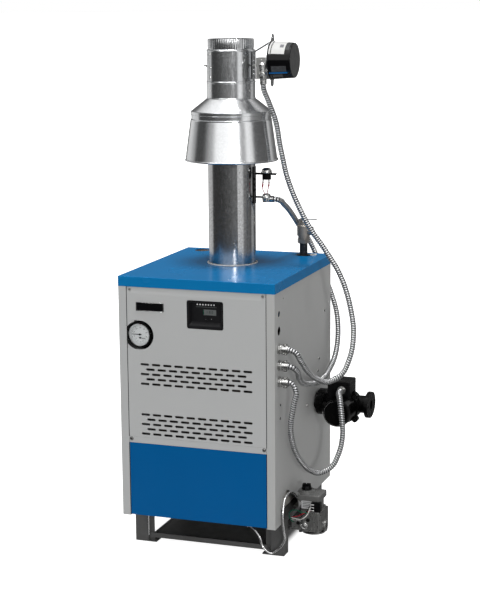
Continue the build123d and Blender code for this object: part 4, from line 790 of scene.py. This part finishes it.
# name, x range, angle range, height of the outer face above the housing, material
WRAPS = (
    ("actuator_label", 144.5, 196, -38, 68, 0.45, "label"),
    ("actuator_label_mark", 178, 190, 30, 44, 0.6, "dial_grey"),
    ("actuator_label_band", 198, 210, -10, 52, 0.45, "label_grey"),
    ("actuator_print", 150, 202, 106, 126, 0.42, "label_grey"),
    ("actuator_stripe", 144.5, 204, 128, 133.5, 0.45, "stripe"),
    ("actuator_print_low", 146, 186, 138, 152, 0.42, "end_grey"),
)
for row in WRAPS:
    wrap(*row)
disc("actuator_end", (215.9, VENT_Y, ACTUATOR_Z), RIGHT, 52.6, 0.7, "end_grey", segs=72,
     bevel=0.3)
ring("actuator_rim", (214.6, VENT_Y, ACTUATOR_Z), RIGHT, 54.0, 1.2, "gloss")
ring("actuator_back_rim", (143.6, VENT_Y, ACTUATOR_Z), RIGHT, 59.4, 1.0, "gloss")
disc("box_screw_0", (121.5, -14.6, 1560), FRONT, 2.6, 1.4, "zinc", segs=12, bevel=0.5)

# ------------------------------------------------------------------ gauge

GAUGE_X, GAUGE_Z = -194.0, 712.0
DOOR_Y = -305.0
DIAL_Y = -287.05
CORNER_R = 45.2
CORNER_LEFT_X = -229.8

# Door pieces that fill the corners left of the round gauge: name, outer edge z, up or down.
for name, edge_z, side in (("gauge_corner_top", 760.0, 1), ("gauge_corner_low", 667.2, -1)):
    angles = [math.radians(degrees) for degrees in range(142, 105, -4)]
    arc = [(GAUGE_X + CORNER_R * math.cos(a), GAUGE_Z + side * CORNER_R * math.sin(a))
           for a in angles]
    outline = [(CORNER_LEFT_X, arc[0][1]), *arc, (arc[-1][0], edge_z), (CORNER_LEFT_X, edge_z)]
    if side < 0:
        outline.reverse()
    plate(name, outline, DOOR_Y, DOOR_Y + 0.9, "grey", "upper_door")


def ray(name, cz, degrees, r0, r1, width, mat):
    """A radial stroke on the dial about (GAUGE_X, cz), 0 degrees at +X and 90 at +Z."""
    a = math.radians(degrees)
    along = Vector((math.cos(a), 0, math.sin(a)))
    across = Vector((-math.sin(a), 0, math.cos(a)))
    centre = Vector((GAUGE_X, 0, cz))
    verts = []
    for y in (DIAL_Y - 0.12, DIAL_Y + 0.02):
        for r, side in ((r0, -1), (r1, -1), (r1, 1), (r0, 1)):
            p = centre + along * r + across * (side * width / 2)
            verts.append((p.x, y, p.z))
    faces = [(0, 1, 2, 3), (7, 6, 5, 4), (0, 4, 5, 1), (1, 5, 6, 2), (2, 6, 7, 3), (3, 7, 4, 0)]
    return add_mesh(name, verts, faces, mat, smooth=None)


def numeral(name, number, cz, degrees, radius, size, mat):
    a = math.radians(degrees)
    centre = (GAUGE_X + radius * math.cos(a), DIAL_Y - 0.05, cz + radius * math.sin(a))
    lettering(name, str(number), centre, size, mat)


# outer scale, clockwise from lower left; every fifth tick is a long one
SCALE_START, SCALE_SWEEP = 200, 220
for i in range(31):
    inner, width = (26.5, 0.75) if i % 5 == 0 else (28.8, 0.4)
    ray("tick_%02d" % i, GAUGE_Z, SCALE_START - i * SCALE_SWEEP / 30, inner, 31.5, width,
        "dial_black")
for i in range(7):
    numeral("num_%d" % i, i * 5, GAUGE_Z, SCALE_START - i * SCALE_SWEEP / 6, radius=21.6,
            size=5.6, mat="dial_black")

# small scale below it, anticlockwise round its own centre
LOW_SCALE_Z = GAUGE_Z - 11
LOW_START, LOW_SWEEP = -170, 160
for i in range(21):
    inner, width = (17.5, 0.55) if i % 5 == 0 else (18.8, 0.3)
    ray("low_tick_%02d" % i, LOW_SCALE_Z, LOW_START + i * LOW_SWEEP / 20, inner, 21, width,
        "dial_grey")
for i in range(5):
    numeral("low_num_%d" % i, 80 + i * 40, LOW_SCALE_Z, LOW_START + i * LOW_SWEEP / 4,
            radius=14.0, size=3.4, mat="dial_grey")
ray("red_mark", GAUGE_Z, 90, 31.2, 36.6, 3.0, "red")
ring("gauge_bezel_bead", (GAUGE_X, -298.4, GAUGE_Z), FRONT, 40.6, 0.9, "gloss")

# ------------------------------------------------------------------ control panel

for i in range(7):
    disc("status_%d" % i, (2 + i * 9.2, -290.9, 820.0), FRONT, 2.3, 0.5, "dot", segs=16,
         bevel=0.2)
block("status_strip", (-3, -291.25, 812.0), (66, -290.95, 813.0), "lcd", bevel=0.1)
block("display_green", (20.5, -291.2, 789.0), (23.6, -290.6, 804.0), "lcd_green", bevel=0.2)
for i, digit in enumerate("180"):
    lettering("digit_%d" % i, digit, (34 + i * 8.5, -290.25, 796), 11, "lcd_dark", depth=0.2)
for k, (x, sign) in enumerate(((31, "-"), (49, "+")), 1):
    lettering("button_mark_%d" % k, sign, (x, -293.12, 775), 5.0, "dot", body="button_%d" % k,
              depth=0.1)

# ------------------------------------------------------------------ badge

# bright frame bars: outer edges of the frame and the width of a bar
BADGE_X0, BADGE_X1 = -198.4, -105.6
BADGE_Z0, BADGE_Z1 = 791.2, 818.8
BADGE_BAR = 1.2
for name, x0, x1, z0, z1 in (
    ("badge_top", BADGE_X0, BADGE_X1, BADGE_Z1 - BADGE_BAR, BADGE_Z1),
    ("badge_low", BADGE_X0, BADGE_X1, BADGE_Z0, BADGE_Z0 + BADGE_BAR),
    ("badge_left", BADGE_X0, BADGE_X0 + BADGE_BAR, BADGE_Z0, BADGE_Z1),
    ("badge_right", BADGE_X1 - BADGE_BAR, BADGE_X1, BADGE_Z0, BADGE_Z1),
):
    block(name, (x0, -307.5, z0), (x1, -306.6, z1), "bright", "upper_door", bevel=0.25)

# ------------------------------------------------------------------ gas valve

DIAPHRAGM_X, DIAPHRAGM_Y = 333, -140
REGULATOR_X, REGULATOR_Z = 318, 101

block("valve_label", (303, -173.6, 153.5), (343, -172.9, 181.5), "label_silver", bevel=0.3)
for k in range(4):
    z = k * 5.2
    block("valve_label_line_%d" % k, (307, -173.8, 158.5 + z),
          (335 - 4 * (k % 2), -173.55, 160.3 + z), "label_grey")
turned("diaphragm_cover", [(0.01, 80.2), (41, 80.2), (41.5, 78.5), (40, 75.5), (30, 71.5),
                           (14, 70.2), (0.01, 70.0)],
       (DIAPHRAGM_X, DIAPHRAGM_Y, 0), UP, "plastic", segs=64)
for k in range(6):
    place = Vector((DIAPHRAGM_X, DIAPHRAGM_Y, 73.2)) + outward(30 + 60 * k) * 33
    disc("diaphragm_screw_%d" % k, place, DOWN, 3.0, 1.6, "zinc", segs=12, bevel=0.4)
for k, (x, y) in enumerate(((296, -175), (360, -175), (360, -105))):
    disc("cover_screw_%d" % k, (x, y, 199.9), UP, 2.6, 1.3, "zinc", segs=12, bevel=0.4)
block("knob_mark", (309.3, -144.0, 227.4), (310.7, -136.0, 227.75), "dot", "gas_knob")
ring("regulator_ring", (REGULATOR_X, -189.5, REGULATOR_Z), FRONT, 9.2, 1.0, "bright", segs=40)
disc("regulator_slot", (REGULATOR_X, -190.6, REGULATOR_Z), FRONT, 5.2, 0.6, "zinc", segs=24,
     bevel=0.2)

# ------------------------------------------------------------------ fittings in the top panel

turned("supply_hole_lining", [(27.0, 868), (31.5, 868), (31.5, 897.2), (27.0, 897.2)],
       (-187.5, 256, 0), UP, "tan", segs=64)
ring("cable_grommet", (207.5, 262, 899.6), UP, 12.3, 2.0, "label", segs=40)
# dark ring round the foot of the relief valve
turned("relief_dark_ring", [(13.6, 899.1), (25.0, 899.1), (24.0, 901.3), (13.6, 902.2)],
       (178.5, 252.4, 0), UP, "steel_black", segs=48)

# ------------------------------------------------------------------ conduit connectors

CONNECTOR_Y = -267
for k, z in enumerate((690, 638, 586)):
    for j, rise in enumerate((13.2, -13.2)):
        disc("connector_screw_%d_%d" % (k, j), (280.6, -273, z + rise), FRONT, 3.0, 3.2, "zinc",
             segs=14, bevel=0.6)
    ring("connector_lip_%d" % k, (290.2, CONNECTOR_Y, z), RIGHT, 11.6, 0.9, "zinc_cast", segs=40)
    ring("connector_ring_%d" % k, (268.0, CONNECTOR_Y, z), RIGHT, 13.4, 1.6, "zinc", segs=40)

# ------------------------------------------------------------------ pump

PUMP_X, PUMP_Z = 363, 422
# painted highlight: a bright part-ring on the rim of the motor's end
ring("motor_edge_highlight", (PUMP_X, 10.6, PUMP_Z), BACK, 40.3, 0.45, "bright", segs=72, arc=(150, 345))
ring("motor_flange_edge", (PUMP_X, 95.8, PUMP_Z), BACK, 51.2, 0.5, "steel_black", segs=72)
disc("flange_bolt_bright", (275.5, 100, 427), LEFT, 7.5, 6.0, "zinc", segs=6, bevel=0.6)
block("box_lid_seam", (318.8, 59.8, 502.6), (395.2, 140.2, 503.2), "steel_black")
disc("box_lid_screw", (345, 100, 517.8), UP, 3.0, 1.2, "zinc", segs=16, bevel=0.4)

# ------------------------------------------------------------------ spill switch

# domed cap, its lower rim, two arm bars, and the round connector below
SPILL_X = 119.5
turned("spill_cap", [(0.01, 1214.2), (8.0, 1213.4), (13.6, 1210.6), (16.4, 1206.0),
                     (16.8, 1200.5), (16.8, 1198.4), (0.01, 1198.4)],
       (SPILL_X, VENT_Y, 0), UP, "zinc_cast", segs=40)
ring("spill_cap_rim", (SPILL_X, VENT_Y, 1199.0), UP, 16.9, 1.3, "zinc", segs=40)
block("spill_arm_bar", (84.0, 29.0, 1191.9), (156.0, 30.6, 1197.4), "steel_black", bevel=0.5)
block("spill_arm_bar_low", (84.0, 32.0, 1116.2), (107.5, 33.6, 1122.0), "steel_black", bevel=0.5)
turned("spill_connector_dome", [(0.01, 1130.8), (7.0, 1130.3), (12.0, 1127.4), (14.6, 1121.5),
                                (15.0, 1115.0), (14.2, 1108.5), (11.0, 1104.2),
                                (0.01, 1103.2)],
       (SPILL_X, VENT_Y, 0), UP, "zinc_cast", segs=40)
ring("spill_connector_rim", (SPILL_X, VENT_Y, 1117.5), UP, 14.9, 1.5, "zinc", segs=40)
disc("spill_connector_screw", (122.0, 27.0, 1110.0), (0.1, -1, -0.2), 3.0, 3.4, "zinc", segs=14,
     bevel=0.5)

# ------------------------------------------------------------------ jacket details

# fibre seen inside the burner opening
block("fibre_patch", (-196, -148, 119.2), (-120, -145, 134), "fibre", bevel=0.8)

# dark strips in the gaps beside the doors: painted shade
for k, x in enumerate((-232.2, 230.4)):
    for name, z0, z1 in (("door_gap_%d", 381, 868), ("door_gap_low_%d", 121, 361)):
        block(name % k, (x, -305.2, z0), (x + 1.8, -304.4, z1), "plastic")

# painted shade: dark rings round the two screws between the doors and dark slots on their heads
for k, x in enumerate((-223, 223)):
    ring("screw_recess_low_%d" % k, (x, -305.2, 374), BACK, 5.2, 0.8, "end_grey", segs=32)
    block("screw_slot_low_%d" % k, (x - 2.8, -307.3, 373.5), (x + 2.8, -306.9, 374.5), "plastic")

# (y, z) of the screw heads on the right-hand panel
SIDE_SCREWS = ((-256, 509.5), (30.5, 438), (-259, 467), (164, 567), (151, 528), (227.5, 718))
for k, (y, z) in enumerate(SIDE_SCREWS):
    disc("side_screw_head_%d" % k, (260.3, y, z), RIGHT, 4.4, 1.1, "end_grey", segs=24,
         bevel=0.5)

# clamp connector on the face of the damper's sheet box, with its two screws
turned("box_connector", [(0.01, 1500), (9.4, 1500), (10.8, 1502), (10.8, 1512), (12.6, 1513.4),
                         (12.6, 1521.5), (10.4, 1523), (10.4, 1538), (12.0, 1539.4),
                         (12.0, 1546.4), (7.0, 1552.0), (0.01, 1553.0)],
       (127, -17.5, 0), UP, "zinc_cast", segs=40)
for k, (x, y, lean) in enumerate(((120.5, -26.5, -0.4), (134.0, -26.0, 0.4))):
    disc("box_connector_screw_%d" % k, (x, y, 1517.5), (lean, -1, 0), 3.0, 4.0, "zinc", segs=14,
         bevel=0.6)
# bolt head on the pump flange nearest the jacket
disc("flange_bolt_front", (300.5, 88.5, 402), FRONT, 6.4, 5.2, "zinc", segs=6, bevel=0.6)

# ------------------------------------------------------------------ floor


def floor_paper():
    """Matt grey paper that glows near white to the camera, but not under the boiler: a painted
    shadow.
    """
    half_x, half_y, centre_y = 0.215, 0.20, 0.06  # the dark footprint, in metres
    s = Surface("floor_paper")
    noise = s.new("TexNoise", {"Scale": 3.0}).outputs["Fac"]
    ramp = s.new("ValToRGB", {"Fac": noise})
    for element, grey in zip(ramp.color_ramp.elements, (0.50, 0.55)):
        element.color = (grey, grey, grey, 1)
    place = s.separate(s.coord)
    from_y = s.math("SUBTRACT", place["Y"], centre_y)
    far_x = s.math("DIVIDE", s.math("ABSOLUTE", place["X"], 0.0), half_x)
    far_y = s.math("DIVIDE", s.math("ABSOLUTE", from_y, 0.0), half_y)
    # the glow fades out over the footprint, which leaves a painted shadow under the boiler
    outside_shadow = s.remap(s.math("MAXIMUM", far_x, far_y), source=(0.96, 1.10),
                   interpolation="SMOOTHSTEP")
    seen = s.math("MULTIPLY", s.new("LightPath").outputs["Is Camera Ray"], outside_shadow)
    s.put({
        "Roughness": 0.9, "Base Color": ramp.outputs["Color"],
        "Emission Color": (1, 1, 1), "Emission Strength": s.math("MULTIPLY", seen, 0.95),
    })
    return s.mat


bpy.ops.mesh.primitive_plane_add(size=400, location=(0, 0, -0.0005))
floor = bpy.context.object
floor.name = "floor"
floor.data.materials.append(floor_paper())
floor.visible_glossy = False

# ------------------------------------------------------------------ camera

CAMERA_PLACE = (1.7423, -4.7961, 1.7517)
YAW, PITCH_DOWN, ROLL = (math.radians(a) for a in (19.55, 10.78, -0.47))

camera_data = bpy.data.cameras.new("camera")
camera = bpy.data.objects.new("camera", camera_data)
bpy.context.scene.collection.objects.link(camera)
forward = Vector((-math.sin(YAW) * math.cos(PITCH_DOWN), math.cos(YAW) * math.cos(PITCH_DOWN),
                  -math.sin(PITCH_DOWN)))
level = forward.cross(Vector(UP)).normalized()
upright = level.cross(forward)
rolled_right = level * math.cos(ROLL) + upright * math.sin(ROLL)
rolled_up = upright * math.cos(ROLL) - level * math.sin(ROLL)
rotation = Matrix((rolled_right, rolled_up, -forward)).transposed()
camera.matrix_world = Matrix.Translation(Vector(CAMERA_PLACE)) @ rotation.to_4x4()
camera_data.sensor_width = 36
camera_data.lens = 95.118
camera_data.clip_end = 200
bpy.context.scene.camera = camera

# ------------------------------------------------------------------ world

# Even light for surfaces, a studio of bright panels and dark flags for reflections.
# Each panorama lists (degrees from the camera, positive to its right; brightness).
LOW_PANORAMA = (
    (-180, 0.10), (-165, 0.12), (-150, 0.80), (-112, 0.72), (-103, 0.065), (-50, 0.06),
    (-5, 0.10), (27, 0.16), (37, 1.05), (52, 0.95), (60, 0.28), (94, 0.20), (103, 0.08),
    (112, 0.5), (124, 0.5), (136, 0.14),
)
MID_PANORAMA = (
    (-180, 0.12), (-158, 0.12), (-145, 0.8), (-132, 0.62), (-122, 0.09), (-80, 0.07),
    (-54, 0.55), (-38, 1.35), (-8, 1.45), (6, 0.95), (20, 0.36), (34, 0.42), (42, 1.2),
    (54, 1.0), (64, 0.11), (104, 0.09), (116, 0.75), (140, 0.75), (158, 0.12),
)
HIGH_PANORAMA = (
    (-180, 0.9), (-100, 1.4), (-60, 2.8), (12, 2.8), (34, 1.3), (52, 0.18), (70, 1.1),
    (82, 0.15), (120, 0.25), (180, 0.9),
)
RAMP_GAIN = 4  # brightness is stored divided by this, so that ramp colours stay below 1


def panorama(sky, turn, stops):
    """Brightness by turn, which runs from 0 to 1 for -180 to 180 degrees."""
    node = sky.new("ValToRGB")
    ramp = node.color_ramp
    ramp.interpolation = "EASE"
    while len(ramp.elements) > 1:
        ramp.elements.remove(ramp.elements[-1])
    ramp.elements[0].position = 0.0
    ramp.elements[0].color = (stops[0][1] / RAMP_GAIN,) * 3 + (1,)
    for degrees, value in stops[1:]:
        element = ramp.elements.new((degrees + 180) / 360)
        element.color = (value / RAMP_GAIN,) * 3 + (1,)
    sky.fill(node, {0: turn})
    return sky.math("MULTIPLY", node.outputs["Color"], float(RAMP_GAIN))


def fade(sky, below, above, height, band):
    """Passes from below to above as height crosses the band."""
    k = sky.remap(height, source=band, interpolation="SMOOTHSTEP")
    rest = sky.math("SUBTRACT", 1.0, k)
    return sky.math("ADD", sky.math("MULTIPLY", below, rest), sky.math("MULTIPLY", above, k))


def studio():
    world = bpy.data.worlds.new("studio")
    bpy.context.scene.world = world
    world.use_nodes = True
    world.node_tree.nodes.clear()
    sky = Nodes(world.node_tree)
    ray_dir = sky.separate(sky.new("TexCoord").outputs["Generated"])
    bearing = sky.math("ARCTAN2", ray_dir["X"], sky.math("MULTIPLY", ray_dir["Y"], -1.0))
    from_camera = sky.math("SUBTRACT", bearing, YAW)
    turn = sky.math("ADD", sky.math("DIVIDE", from_camera, 2 * math.pi), 0.5)
    turn = sky.math("FRACT", turn, 0.0)
    low, mid, high = (panorama(sky, turn, stops)
                      for stops in (LOW_PANORAMA, MID_PANORAMA, HIGH_PANORAMA))
    panels = fade(sky, low, mid, ray_dir["Z"], band=(0.0, 0.12))
    panels = fade(sky, panels, high, ray_dir["Z"], band=(0.55, 0.85))

    def background(color, strength):
        return sky.new("Background", {"Color": color, "Strength": strength}).outputs[0]

    even = background((0.97, 0.985, 1.0), strength=0.235)
    shine = background((1, 1, 1), strength=panels)
    white = background((1, 1, 1), strength=1.0)
    path = sky.new("LightPath").outputs
    lit = sky.new("MixShader", {0: path["Is Glossy Ray"], 1: even, 2: shine}).outputs[0]
    seen = sky.new("MixShader", {0: path["Is Camera Ray"], 1: lit, 2: white}).outputs[0]
    sky.new("OutputWorld", {"Surface": seen})


studio()

# ------------------------------------------------------------------ suns


def sun(name, toward, strength, angle):
    """A sun that lies in the direction toward and spans angle degrees."""
    light = bpy.data.lights.new(name, "SUN")
    light.energy = strength
    light.angle = math.radians(angle)
    obj = bpy.data.objects.new(name, light)
    obj.rotation_mode = "QUATERNION"
    obj.rotation_quaternion = Vector(toward).to_track_quat("Z", "Y")
    bpy.context.scene.collection.objects.link(obj)


sun("key", toward=(1.0, -1.75, 0.45), strength=0.86, angle=5)
sun("left", toward=(-0.55, -0.85, 0.75), strength=0.60, angle=20)
sun("top", toward=(0.04, -0.05, 1.0), strength=2.6, angle=22)

# ------------------------------------------------------------------ colour

view = bpy.context.scene.view_settings
view.view_transform = "Standard"
view.look = "None"
view.exposure = 0.0
